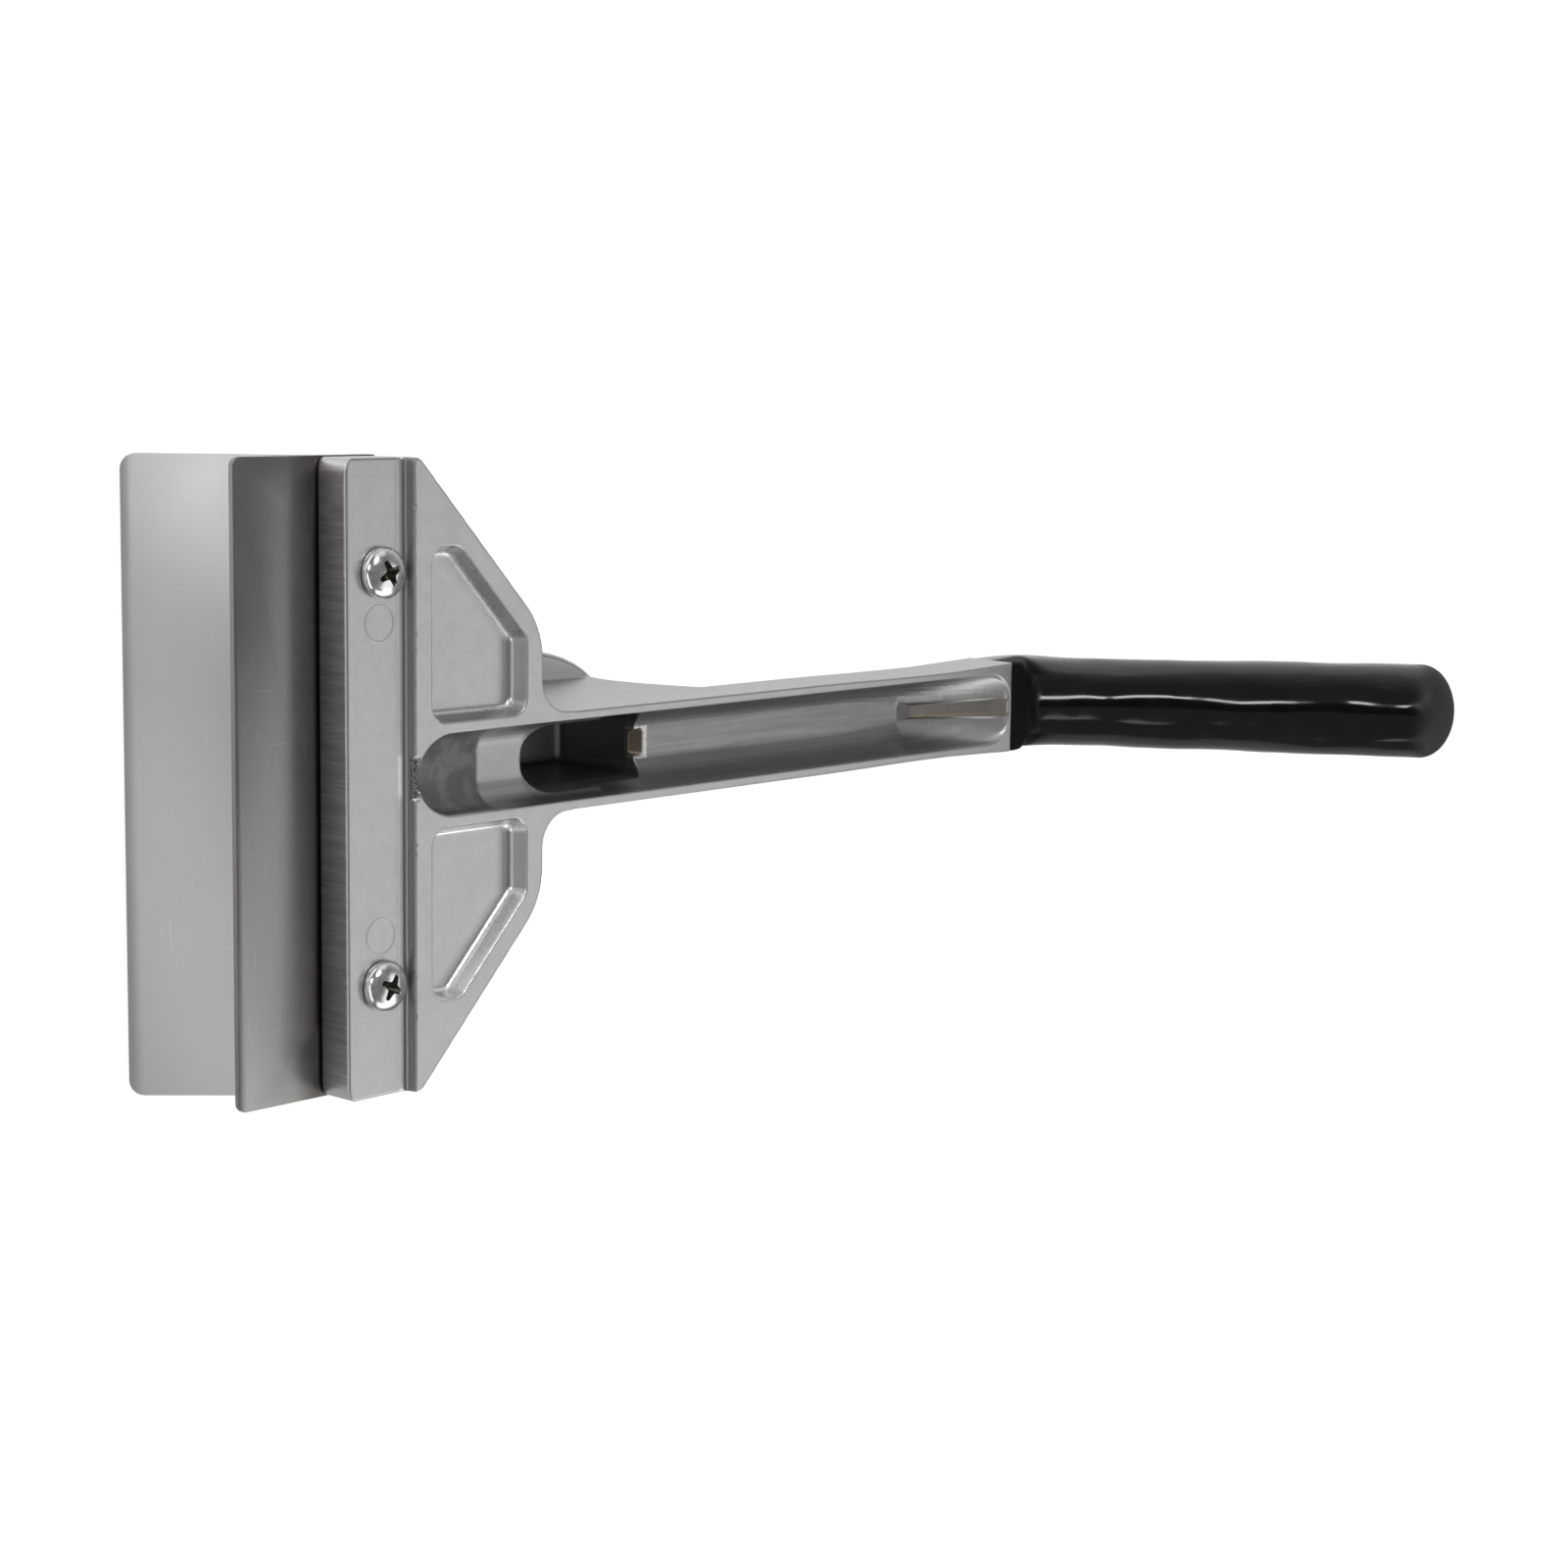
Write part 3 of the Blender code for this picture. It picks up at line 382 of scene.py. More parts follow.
def cast_pocket(sh, x, y, z, nx, ny, nz):
    """Masks of a pocket's drafted walls, the fillet at their foot and the rim that faces away, which are
    painted lighter as painted highlights.
    """
    room = sh.math("MULTIPLY", sh.ramp(x, station_x(22.0), station_x(22.6)),
                   sh.ramp(sh.math("ABSOLUTE", y), 12.9 * MM, 13.5 * MM))
    room = sh.math("MULTIPLY", room, band(sh, z, level_z(-1.72), level_z(2.86), 0.02 * MM))
    room = sh.math("MULTIPLY", room, sh.ramp(sh.math("ABSOLUTE", y), 68.0 * MM, 67.0 * MM))
    slant = sh.ramp(sh.math("ABSOLUTE", ny), 0.1, 0.24)
    wall = sh.math("MULTIPLY", sh.math("MULTIPLY", room, slant), sh.ramp(nz, 0.97, 0.9))
    foot = sh.math("MULTIPLY", wall, sh.math("MULTIPLY", sh.ramp(nz, 0.5, 0.66),
                                             sh.ramp(z, level_z(0.6), level_z(-0.2))))
    near = sh.ramp(x, station_x(27.0), station_x(26.0))
    return wall, foot, sh.math("MULTIPLY", sh.math("MULTIPLY", room, near), sh.ramp(nx, 0.04, 0.16))


def cast_step(sh, x, z):
    """Masks of the step's riser, painted darker as painted shade, and of the strip in front of it, painted
    lighter as a painted highlight.
    """
    foot = STEP_S - STEP_DRAFT
    riser = sh.math("MULTIPLY", band(sh, x, station_x(foot - 1.2), station_x(STEP_S), 0.3 * MM),
                    band(sh, z, level_z(0.14), level_z(2.7), 0.1 * MM))
    strip = sh.math("MULTIPLY", band(sh, x, station_x(foot - 2.2), station_x(foot - 0.6), 0.6 * MM),
                    sh.ramp(z, level_z(0.25), level_z(0.1)))
    return riser, strip


def cast_lip(sh, x, y, z):
    """Brown-stained patch in the sloping notch at the well's far end, and a painted highlight round it."""
    spot = band(sh, x, FRONT_X + LIP_START * MM, station_x(LIP_END - 0.6), 0.3 * MM)
    wide = sh.ramp(sh.math("ABSOLUTE", y), (LIP_HALF - 0.3) * MM, (LIP_HALF - 0.7) * MM)
    low = band(sh, z, level_z(-14.2), level_z(-11.95), 0.2 * MM)
    stained = sh.math("MULTIPLY", sh.math("MULTIPLY", spot, wide), low)
    # Painted highlight round the brown patch
    around = band(sh, x, station_x(LIP_START - 0.7), station_x(LIP_END + 0.9), 0.5 * MM)
    sides = sh.ramp(sh.math("ABSOLUTE", y), (LIP_HALF + 0.9) * MM, (LIP_HALF + 0.2) * MM)
    level = band(sh, z, level_z(-14.6), level_z(-11.2), 0.2 * MM)
    bright = sh.math("MULTIPLY", sh.math("MULTIPLY", around, sides), level)
    return stained, sh.math("MULTIPLY", bright, sh.ramp(sh.noise(500.0, 3.0, 0.6), 0.3, 0.5, 0.3, 1.0))


def cast_rib(sh, x, y, z, nz):
    """Darker brown top of the rib on the ramp, and a thin painted highlight line along it."""
    along = band(sh, x, FRONT_X + RIB_START * MM, FRONT_X + RIB_END * MM, 0.4 * MM)
    grow = sh.ramp(x, FRONT_X + RIB_START * MM, FRONT_X + RIB_END * MM, 1.75 * MM, RIB_HALF * MM)
    inner = sh.ramp(sh.math("SUBTRACT", grow, sh.math("ABSOLUTE", y)), -0.1 * MM, 0.15 * MM)
    top = sh.math("MULTIPLY", sh.math("MULTIPLY", along, inner), sh.ramp(nz, 0.7, 0.85))
    top = sh.math("MULTIPLY", top, sh.ramp(z, level_z(2.75), level_z(2.6)))
    wander = sh.math("MULTIPLY", sh.math("SUBTRACT", sh.noise(120.0, 2.0, 0.5), 0.5), 0.6 * MM)
    off = sh.math("ABSOLUTE", sh.math("ADD", sh.math("ADD", y, 1.35 * MM), wander))
    line = sh.math("MULTIPLY", sh.ramp(off, 0.22 * MM, 0.08 * MM), top)
    return top, sh.math("MULTIPLY", line, sh.ramp(sh.noise(90.0, 2.0, 0.5), 0.35, 0.6))


def cast_chip(sh, x, y, z):
    """Darker patch on the chipped rim between the step and the trough, with lighter spots at its ends."""
    along = band(sh, x, station_x(18.5), station_x(19.7), 0.15 * MM)
    low = sh.ramp(z, level_z(2.72), level_z(2.5))
    high = sh.ramp(z, level_z(0.8), level_z(1.2))
    away = sh.math("ABSOLUTE", y)
    there = sh.math("MULTIPLY", sh.math("MULTIPLY", along, low), high)
    chip = sh.math("MULTIPLY", there, sh.ramp(away, CHIP_HALF * MM, (CHIP_HALF - 0.5) * MM))
    ends = band(sh, away, (CHIP_HALF - 0.55) * MM, (CHIP_HALF + 0.1) * MM, 0.2 * MM)
    return chip, sh.math("MULTIPLY", there, ends)


def blade_metal(name, tone_low, tone_high, rough_low, rough_high, clamp_shade=0.0):
    """Rolled steel with drawing marks along it, fine scratches, faint clouds and painted shade darkening it
    towards the clamp.
    """
    sh = Shader(name, tone_low, 1.0, rough_low)
    cloud = sh.noise(38.0, 4.0, 0.6)
    drawn = sh.noise(1.0, 3.0, 0.65, sh.stretched((1900.0, 26.0, 1900.0)))
    scratch_a = sh.noise(1.0, 2.0, 0.5, sh.stretched((2400.0, 90.0, 400.0), (0.0, 0.0, 0.6)))
    scratch_b = sh.noise(1.0, 2.0, 0.5, sh.stretched((140.0, 2600.0, 300.0), (0.0, 0.0, 0.35)))
    marks = sh.math("ADD", sh.ramp(scratch_a, 0.66, 0.8), sh.ramp(scratch_b, 0.68, 0.8))
    tone = sh.mix(sh.ramp(cloud, 0.3, 0.7), tone_low, tone_high)
    tone = sh.mix(sh.math("MULTIPLY", marks, 0.16), tone, (0.85, 0.85, 0.84))
    # Painted shade: darker towards the bar's front face, by the given share
    near = sh.ramp(sh.axes()[0], station_x(-9.0), station_x(-0.5), 0.0, clamp_shade)
    tone = sh.mix(near, tone, (0.06, 0.054, 0.045))
    rough = sh.ramp(cloud, 0.25, 0.75, rough_low, rough_high)
    bumps = sh.bump(drawn, 0.1, 0.05 * MM)
    bumps = sh.bump(marks, 0.12, 0.04 * MM, bumps)
    return sh.finish(tone, rough, bumps)


def plated_metal():
    """Bright plating, with painted shade darkening the cross recess of the screws."""
    sh = Shader("plated_steel_look", (0.74, 0.74, 0.75), 1.0, 0.16)
    cloud = sh.noise(700.0, 3.0, 0.6)
    tone = sh.mix(sh.ramp(cloud, 0.3, 0.7), (0.66, 0.66, 0.66), (0.76, 0.76, 0.755))
    x, y, z = sh.axes()
    low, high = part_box("screw_left")
    u = sh.math("SUBTRACT", x, (low.x + high.x) / 2)
    v = sh.math("SUBTRACT", sh.math("ABSOLUTE", y), (low.y + high.y) / 2)
    reach = sh.math("ADD", sh.math("MULTIPLY", u, u), sh.math("MULTIPLY", v, v))
    span = (HEAD_D / 2 * MM) ** 2
    left = sh.math("SUBTRACT", 1.0, sh.math("MULTIPLY", reach, 1 / span))
    dome = sh.math("SQRT", sh.math("MAXIMUM", left, 0.0))
    dome = sh.math("MULTIPLY", dome, (HEAD_H - HEAD_RIM) * MM)
    depth = sh.math("SUBTRACT", sh.math("ADD", dome, high.z - (HEAD_H - HEAD_RIM) * MM), z)
    recess = sh.math("MULTIPLY", sh.ramp(depth, 0.12 * MM, 0.5 * MM),
                     sh.ramp(reach, (4.2 * MM) ** 2, (3.9 * MM) ** 2))
    recess = sh.math("MULTIPLY", recess, sh.ramp(z, high.z - 3.5 * MM, high.z - 3.2 * MM))
    # Painted shade in the cross recess
    tone = sh.mix(recess, tone, (0.13, 0.122, 0.1))
    rough = sh.math("ADD", sh.ramp(cloud, 0.3, 0.7, 0.17, 0.24), sh.math("MULTIPLY", recess, 0.25))
    return sh.finish(tone, rough, sh.bump(sh.noise(2500.0, 2.0, 0.5), 0.05, 0.02 * MM))


def black_vinyl():
    """Dipped coating: deep black, glossy, with faint flow ripples and a little dust haze."""
    sh = Shader("black_vinyl_look", (0.005, 0.0052, 0.0058), 0.0, 0.1)
    sh.bsdf.inputs["IOR"].default_value = 1.5
    haze = sh.noise(160.0, 4.0, 0.65)
    x, y, z = sh.axes()
    s, n = grip_point(grip_length() - GRIP_DOME, 0.0, 0.0, 0.0)
    start, turn = at(s, 0.0, n), GRIP_ANGLE
    base = start.x * math.cos(turn) + start.z * math.sin(turn)
    along = sh.math("ADD", sh.math("MULTIPLY", x, math.cos(turn)), sh.math("MULTIPLY", z, math.sin(turn)))
    end = sh.ramp(along, base - 4.5 * MM, base + 4.5 * MM)
    dull = sh.ramp(x, at(ARM_LENGTH + 13.0, 0.0, 0.0).x, at(ARM_LENGTH + 9.0, 0.0, 0.0).x)
    dull = sh.math("MULTIPLY", dull, sh.ramp(z, at(0.0, 0.0, 6.2).z, at(0.0, 0.0, 3.9).z))
    side = sh.math("MULTIPLY", sh.ramp(sh.math("ABSOLUTE", y), 7.5 * MM, 9.0 * MM),
                   sh.ramp(x, at(ARM_LENGTH + 16.0, 0.0, 0.0).x, at(ARM_LENGTH + 12.0, 0.0, 0.0).x))
    side = sh.math("MULTIPLY", side, sh.ramp(z, at(0.0, 0.0, 10.0).z, at(0.0, 0.0, 7.0).z))
    dull = sh.math("MAXIMUM", dull, side)
    dull = sh.math("MULTIPLY", dull, sh.ramp(z, at(0.0, 0.0, -8.0).z, at(0.0, 0.0, -4.0).z))
    sh.link(sh.math("SUBTRACT", 0.5, sh.math("MULTIPLY", dull, 0.42)), sh.bsdf.inputs["Specular IOR Level"])
    tone = sh.mix(sh.ramp(haze, 0.4, 0.8), (0.0045, 0.0046, 0.0052), (0.0075, 0.0075, 0.008))
    # Painted light: the domed end gets a lighter grey tone for the light it catches
    tone = sh.mix(end, tone, (0.02, 0.02, 0.02))
    rough = sh.ramp(haze, 0.3, 0.75, 0.08, 0.12)
    rough = sh.math("ADD", rough, sh.math("MULTIPLY", end, 0.62))
    rough = sh.math("ADD", rough, sh.math("MULTIPLY", dull, 0.45))
    bumps = sh.bump(sh.noise(1600.0, 2.0, 0.5), 0.04, 0.03 * MM)
    return sh.finish(tone, rough, bumps)


# Pieces

def link_mesh(name, mesh, material, slot, *nodes):
    """Piece of the scene that stands for the given nodes."""
    ob = bpy.data.objects.new(name, mesh)
    bpy.context.scene.collection.objects.link(ob)
    ob.data.materials.clear()
    ob.data.materials.append(material)
    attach(ob, "root")
    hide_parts(*nodes)
    return ob


def welded_copy(node):
    """The node's mesh with its split corners joined again."""
    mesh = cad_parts[node].data.copy()
    bm = bmesh.new()
    bm.from_mesh(mesh)
    bmesh.ops.remove_doubles(bm, verts=bm.verts, dist=0.000002)
    bmesh.ops.recalc_face_normals(bm, faces=bm.faces)
    bm.to_mesh(mesh)
    bm.free()
    return mesh


def applied(mesh, build_modifiers):
    """Mesh with the given modifiers applied."""
    carrier = bpy.data.objects.new("carrier", mesh)
    bpy.context.scene.collection.objects.link(carrier)
    build_modifiers(carrier)
    graph = bpy.context.evaluated_depsgraph_get()
    out = bpy.data.meshes.new_from_object(carrier.evaluated_get(graph))
    bpy.data.objects.remove(carrier, do_unlink=True)
    return out


def shade(mesh, degrees):
    """Smooth shading with creases above the given angle."""
    mesh.shade_smooth()
    mesh.set_sharp_from_angle(angle=math.radians(degrees))


def softened(node, width, segments=2, degrees=32.0):
    """Copy of a node's mesh with small rounded edges."""
    mesh = welded_copy(node)

    def modifiers(ob):
        planar = ob.modifiers.new("flat", "DECIMATE")
        planar.decimate_type = "DISSOLVE"
        planar.angle_limit = math.radians(1.0)
        bevel = ob.modifiers.new("edge", "BEVEL")
        bevel.width = width
        bevel.segments = segments
        bevel.limit_method = "ANGLE"
        bevel.angle_limit = math.radians(40.0)

    mesh = applied(mesh, modifiers)
    shade(mesh, degrees)
    return mesh


def nick(point):
    """Small dents along the step's edge and the chipped rim where the trough comes close to it."""
    s = (point.x - FRONT_X) / MM
    y = point.y / MM
    n = (point.z - LEDGE_Z) / MM
    if abs(s - STEP_S) > 1.6 or n < 1.6:
        return 0.0
    near = smooth(1 - abs(s - STEP_S - 0.1) / 0.8) * smooth((n - 1.9) / 0.8)
    rough = noise.noise(Vector((y * 0.9, s * 0.4, 3.1))) + 0.7 * noise.noise(Vector((y * 2.9, s, 7.7)))
    chip = smooth((CHIP_HALF - abs(y)) / 0.7) * smooth((1.5 - abs(s - STEP_S - 0.5)) / 0.5)
    return near * max(0.0, rough - 0.2) * 0.3 + chip * (0.75 + 0.5 * rough)


def make_casting(material):
    """Casting on a fine grid for softly rounded edges, with nicks and a slimmer core in the sleeve."""
    mesh = welded_copy("cast_body")

    def modifiers(ob):
        grid = ob.modifiers.new("grid", "REMESH")
        grid.mode = "VOXEL"
        grid.voxel_size = VOXEL * 1.0
        grid.adaptivity = 0.0
        ease = ob.modifiers.new("ease", "SMOOTH")
        ease.factor = 0.5
        ease.iterations = 2

    mesh = applied(mesh, modifiers)
    start = station_x(ARM_LENGTH + CORE_START)
    inward = {v.index: -v.normal.copy() for v in mesh.vertices if v.co.x > start}
    for i, way in inward.items():
        point = mesh.vertices[i].co
        share = smooth(((point.x - FRONT_X) / MM - ARM_LENGTH - CORE_START) / CORE_FADE)
        point += way * share * CORE_SLACK * MM
    for v in mesh.vertices:
        depth = nick(v.co)
        if depth:
            v.co.z -= depth * MM
    mesh.shade_smooth()
    return link_mesh("casting", mesh, material, "cast_aluminium", "cast_body")


def grip_point(t, w, low, high):
    """Point of the grip's side view: t runs from its mouth, w from its lower face, -1, to its upper, 1."""
    tangent = GRIP_BEND_R * math.tan(GRIP_ANGLE / 2)
    corner = ARM_LENGTH + GRIP_LEAD
    lead = GRIP_LEAD - tangent
    turn = GRIP_BEND_R * GRIP_ANGLE
    c, d = math.cos(GRIP_ANGLE), math.sin(GRIP_ANGLE)
    if t <= lead:
        return ARM_LENGTH + t, ARM_MIDDLE + w * low
    if t >= lead + turn:
        k = tangent + t - lead - turn
        return corner + k * c - w * high * d, ARM_MIDDLE + k * d + w * high * c
    f = (t - lead) / turn
    pull = blend(math.cos(GRIP_ANGLE / 2), GRIP_HUG, smooth(w))
    k = w * (low - high * c) / d
    start = Vector((corner - tangent, ARM_MIDDLE + w * low))
    apex = Vector((corner + k * c - w * high * d, ARM_MIDDLE + w * low))
    stop = Vector((corner + tangent * c - w * high * d, ARM_MIDDLE + tangent * d + w * high * c))
    g = f / (f + (1 - f) * 1.5) if w > 0 else f
    a, b, e = (1 - g) ** 2, 2 * g * (1 - g) * pull, g * g
    point = (start * a + apex * b + stop * e) / (a + b + e)
    return point.x, point.y


def quarter_arcs(half, high, r_top, r_base):
    """Cross-section of the grip as (across, up) points."""
    out = []
    corners = ((half - r_top, high - r_top, r_top, 0), (r_top - half, high - r_top, r_top, 90),
               (r_base - half, r_base - high, r_base, 180), (half - r_base, r_base - high, r_base, 270))
    for cx, cy, r, start in corners:
        for k in range(GRIP_QUARTER + 1):
            a = math.radians(start + 90 * k / GRIP_QUARTER)
            out.append((cx + r * math.cos(a), cy + r * math.sin(a)))
    return out


def grip_length():
    """Length along the centre line from the mouth to the end."""
    tangent = GRIP_BEND_R * math.tan(GRIP_ANGLE / 2)
    return GRIP_LEAD - tangent + GRIP_BEND_R * GRIP_ANGLE + GRIP_LENGTH - tangent


def ripple(t, across, up):
    """How far the coating stands back from its full size, from slow runs in the dip."""
    swell = noise.noise(Vector((t * 0.05, across * 0.08, up * 0.08 + 4.0)))
    swell += 0.4 * noise.noise(Vector((t * 0.1 + 9.0, across * 0.1, up * 0.1)))
    return GRIP_RIPPLE * max(0.02, 0.45 - swell)


def grip_ring(t, inset, rippled):
    """One ring of the grip, measured from its mouth along the centre line."""
    total = grip_length()
    dome = total - GRIP_DOME
    low = ARM_HEIGHT / 2 + 0.2 - inset
    if t > dome:
        rise = min(0.9985, (t - dome) / GRIP_DOME)
        high = (GRIP_D_END / 2 - inset) * (1 - rise ** GRIP_DOME_POWER) ** (1 / GRIP_DOME_POWER)
        section = quarter_arcs(high, high, high * 0.995, high * 0.995)
        tall = high
        t = dome + (GRIP_DOME - inset) * rise
    else:
        m = smooth(t / GRIP_MORPH)
        radius = blend(GRIP_D_START, GRIP_D_END, max(0.0, (t - GRIP_MORPH) / (dome - GRIP_MORPH))) / 2
        swell = GRIP_BEND_SWELL * smooth(1 - abs(t - GRIP_SWELL_AT) / GRIP_SWELL_AT)
        half = blend(GRIP_MOUTH_HALF, radius, m) + swell - inset
        high = radius - inset
        tall = blend(low, high, smooth(t / GRIP_RISE))
        limit = min(half, tall) * 0.995
        r_top = blend(GRIP_TOP_R, radius, smooth(t / GRIP_TOP_MORPH) ** 1.3)
        r_top = min(limit, max(0.4, r_top - inset))
        r_base = blend(ARM_BASE_R, radius, smooth(t / (GRIP_MORPH * 0.8)))
        r_base = min(limit, max(0.4, r_base - inset))
        section = quarter_arcs(half, tall, r_top, r_base)
    ring = []
    for u, v in section:
        if rippled:
            back = ripple(t, u, v) / max(0.5, math.hypot(u, v))
            u, v = u * (1 - back), v * (1 - back)
        s, n = grip_point(t, v / tall, low, high)
        ring.append(at(s, u, n))
    return ring


def eased(rings, reach):
    """Relax the rings round the bend, where the coating ran together in the corner."""
    width = len(rings[5])
    centre = sum(rings[5], Vector()) / width
    weights = []
    for ring in rings:
        gone = (sum(ring, Vector()) / width - centre).length / MM
        weights.append(0.5 * smooth((gone - 1.5) / 2.0) * smooth((reach - gone) / 8.0))
    for _ in range(GRIP_EASE):
        before = [[p.copy() for p in ring] for ring in rings]
        for i in range(1, len(rings) - 1):
            if weights[i] < 0.001:
                continue
            for j in range(width):
                near = before[i - 1][j] + before[i + 1][j]
                near = (near + before[i][j - 1] + before[i][(j + 1) % width]) / 4
                rings[i][j] = before[i][j].lerp(near, weights[i])


def grip_mesh():
    """Dipped sleeve: fine rippled outside, rounded lip and a plain inside round the core."""
    barrel = grip_length() - GRIP_DOME
    count = int(barrel / (0.8))
    rings = []
    for k in range(6):
        a = math.radians(18 * k)
        rings.append(grip_ring(GRIP_LIP * (1 - math.cos(a)), GRIP_LIP * (1 - math.sin(a)), True))
    rings += [grip_ring(GRIP_LIP + (barrel - GRIP_LIP) * k / count, 0.0, True) for k in range(1, count + 1)]
    for k in range(1, 21):
        rings.append(grip_ring(barrel + GRIP_DOME * math.sin(math.radians(4.4 * k)), 0.0, True))
    eased(rings, 0.5 * GRIP_BEND_R * GRIP_ANGLE + GRIP_LEAD)
    inner = [grip_ring(barrel * k / 30, GRIP_WALL, False) for k in range(31)]
    for k in range(1, 7):
        inner.append(grip_ring(barrel + GRIP_DOME * math.sin(math.radians(14 * k)), GRIP_WALL, False))
    rows = list(reversed(inner)) + rings
    width = len(rows[0])
    verts = [p for row in rows for p in row]
    faces = []
    for i in range(len(rows) - 1):
        for j in range(width):
            k = (j + 1) % width
            faces.append((i * width + j, i * width + k, (i + 1) * width + k, (i + 1) * width + j))
    last = (len(rows) - 1) * width
    for base in (0, last):
        verts.append(sum(verts[base:base + width], Vector()) / width)
        for j in range(width):
            k = (j + 1) % width
            faces.append((base + j, base + k, len(verts) - 1))
    return solid("grip", verts, faces, 50.0)


def solid(name, verts, faces, degrees):
    """Closed mesh from points and faces, shaded with creases above the given angle."""
    mesh = bpy.data.meshes.new(name)
    mesh.from_pydata([tuple(v) for v in verts], [], faces)
    bm = bmesh.new()
    bm.from_mesh(mesh)
    bmesh.ops.remove_doubles(bm, verts=bm.verts, dist=0.000001)
    bmesh.ops.recalc_face_normals(bm, faces=bm.faces)
    bm.to_mesh(mesh)
    bm.free()
    shade(mesh, degrees)
    return mesh


def screw_mesh(node, turn):
    """Pan head with a soft dome, a cross recess and a threaded end."""
    low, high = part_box(node)
    cx, cy = (low.x + high.x) / 2, (low.y + high.y) / 2
    head = high.z - HEAD_H * MM
    around = 72
    shank = SHANK_D / 2
    points = [(0.4, low.z), (shank - THREAD_DEPTH - 0.3, low.z), (shank - THREAD_DEPTH, low.z + 0.3 * MM)]
    ends = len(points)
    points += [(shank, blend(low.z + 0.35 * MM, head - 0.1 * MM, k / 150)) for k in range(151)]
    tail = len(points)
    points += [(shank, head), (HEAD_D / 2 - 0.25, head), (HEAD_D / 2 - 0.05, head + 0.06 * MM)]
    for k in range(4):
        points.append((HEAD_D / 2, head + (0.25 + 0.6 * k / 3) * MM))
    for k in range(1, 15):
        a = math.radians(90 * k / 14.6)
        r = HEAD_D / 2 * math.cos(a * 0.97)
        points.append((r, head + (HEAD_RIM + (HEAD_H - HEAD_RIM) * math.sin(a)) * MM))
    verts, faces = [], []
    for i, (r, z) in enumerate(points):
        for j in range(around):
            a = 2 * math.pi * j / around
            rr = r
            if ends <= i < tail:
                along = (z - low.z) / MM
                phase = (along / THREAD_PITCH - j / around) % 1.0
                rise = smooth(1 - abs(2 * phase - 1) * 1.15)
                fade = smooth(along / 1.2) * smooth((THREAD_LENGTH - along) / 1.5)
                rr = r - THREAD_DEPTH * blend(1.0, 1 - rise, fade) if along < THREAD_LENGTH else r
            verts.append(Vector((cx + rr * MM * math.cos(a), cy + rr * MM * math.sin(a), z)))
    rows = len(points)
    for i in range(rows - 1):
        for j in range(around):
            k = (j + 1) % around
            faces.append((i * around + j, i * around + k, (i + 1) * around + k, (i + 1) * around + j))
    faces.append(tuple(range(around)))
    faces.append(tuple(range((rows - 1) * around, rows * around)))
    mesh = solid("screw", verts, faces, 35.0)
    tool = bpy.data.objects.new("recess", recess_mesh(cx, cy, high.z, turn))
    bpy.context.scene.collection.objects.link(tool)

    def modifiers(ob):
        carve = ob.modifiers.new("carve", "BOOLEAN")
        carve.object = tool
        carve.operation = "DIFFERENCE"
        carve.solver = "EXACT"

    mesh = applied(mesh, modifiers)
    bpy.data.objects.remove(tool, do_unlink=True)
    shade(mesh, 35.0)
    return mesh


def recess_mesh(cx, cy, top, turn):
    """Tapered cross with rounded inner corners."""
    outline = []
    for quarter in range(4):
        c, s = math.cos(turn + quarter * math.pi / 2), math.sin(turn + quarter * math.pi / 2)
        outline += [(u * c - v * s, u * s + v * c) for u, v in RECESS_ARM]
    verts, faces = [], []
    levels = ((1.05, 0.6), (1.0, 0.0), (0.8, -1.4), (0.5, -2.3), (0.15, -2.9))
    for scale, depth in levels:
        verts += [Vector((cx + u * scale * MM, cy + v * scale * MM, top + depth * MM)) for u, v in outline]
    width = len(outline)
    for i in range(len(levels) - 1):
        for j in range(width):
            k = (j + 1) % width
            faces.append((i * width + j, i * width + k, (i + 1) * width + k, (i + 1) * width + j))
    faces.append(tuple(range(width)))
    faces.append(tuple(range((len(levels) - 1) * width, len(levels) * width)))
    return solid("recess", verts, faces, 30.0)


def make_pieces():
    """Every piece of the scraper, each over its own node."""
    cast = cast_metal()
    # The blades get two tones of one steel: the straight one painted darker as painted shade, with painted
    # shade by the clamp, the angled one lighter as painted light
    steel = blade_metal("straight_blade_look", (0.245, 0.239, 0.23), (0.266, 0.261, 0.252), 0.3, 0.36, 0.75)
    bright = blade_metal("angled_blade_look", (0.43, 0.429, 0.426), (0.455, 0.454, 0.451), 0.38, 0.42)
    clamp = blade_metal("clamp_bar_look", (0.34, 0.338, 0.334), (0.4, 0.398, 0.39), 0.36, 0.5)
    plated = plated_metal()
    vinyl = black_vinyl()
    make_casting(cast)
    link_mesh("flat_blade", softened("straight_blade", 0.12 * MM), steel, "blade_steel", "straight_blade")
    link_mesh("bent_blade", softened("angled_blade", 0.12 * MM), bright, "blade_steel", "angled_blade")
    link_mesh("backing_bar", softened("clamp_bar", 0.2 * MM), clamp, "clamp_steel", "clamp_bar")
    link_mesh("grip_sleeve", grip_mesh(), vinyl, "black_vinyl", "dipped_grip")
    for side in ("left", "right"):
        turn = math.radians(TURN_LEFT if side == "left" else TURN_RIGHT)
        node = "screw_" + side
        link_mesh("pan_head_" + node, screw_mesh(node, turn), plated, "plated_steel", node)
        for kind, width in (("lock_washer", 0.15), ("nut", 0.2)):
            node = kind + "_" + side
            mesh = softened(node, width * MM)
            link_mesh("dressed_" + node, mesh, plated, "plated_steel", node)


# Stage

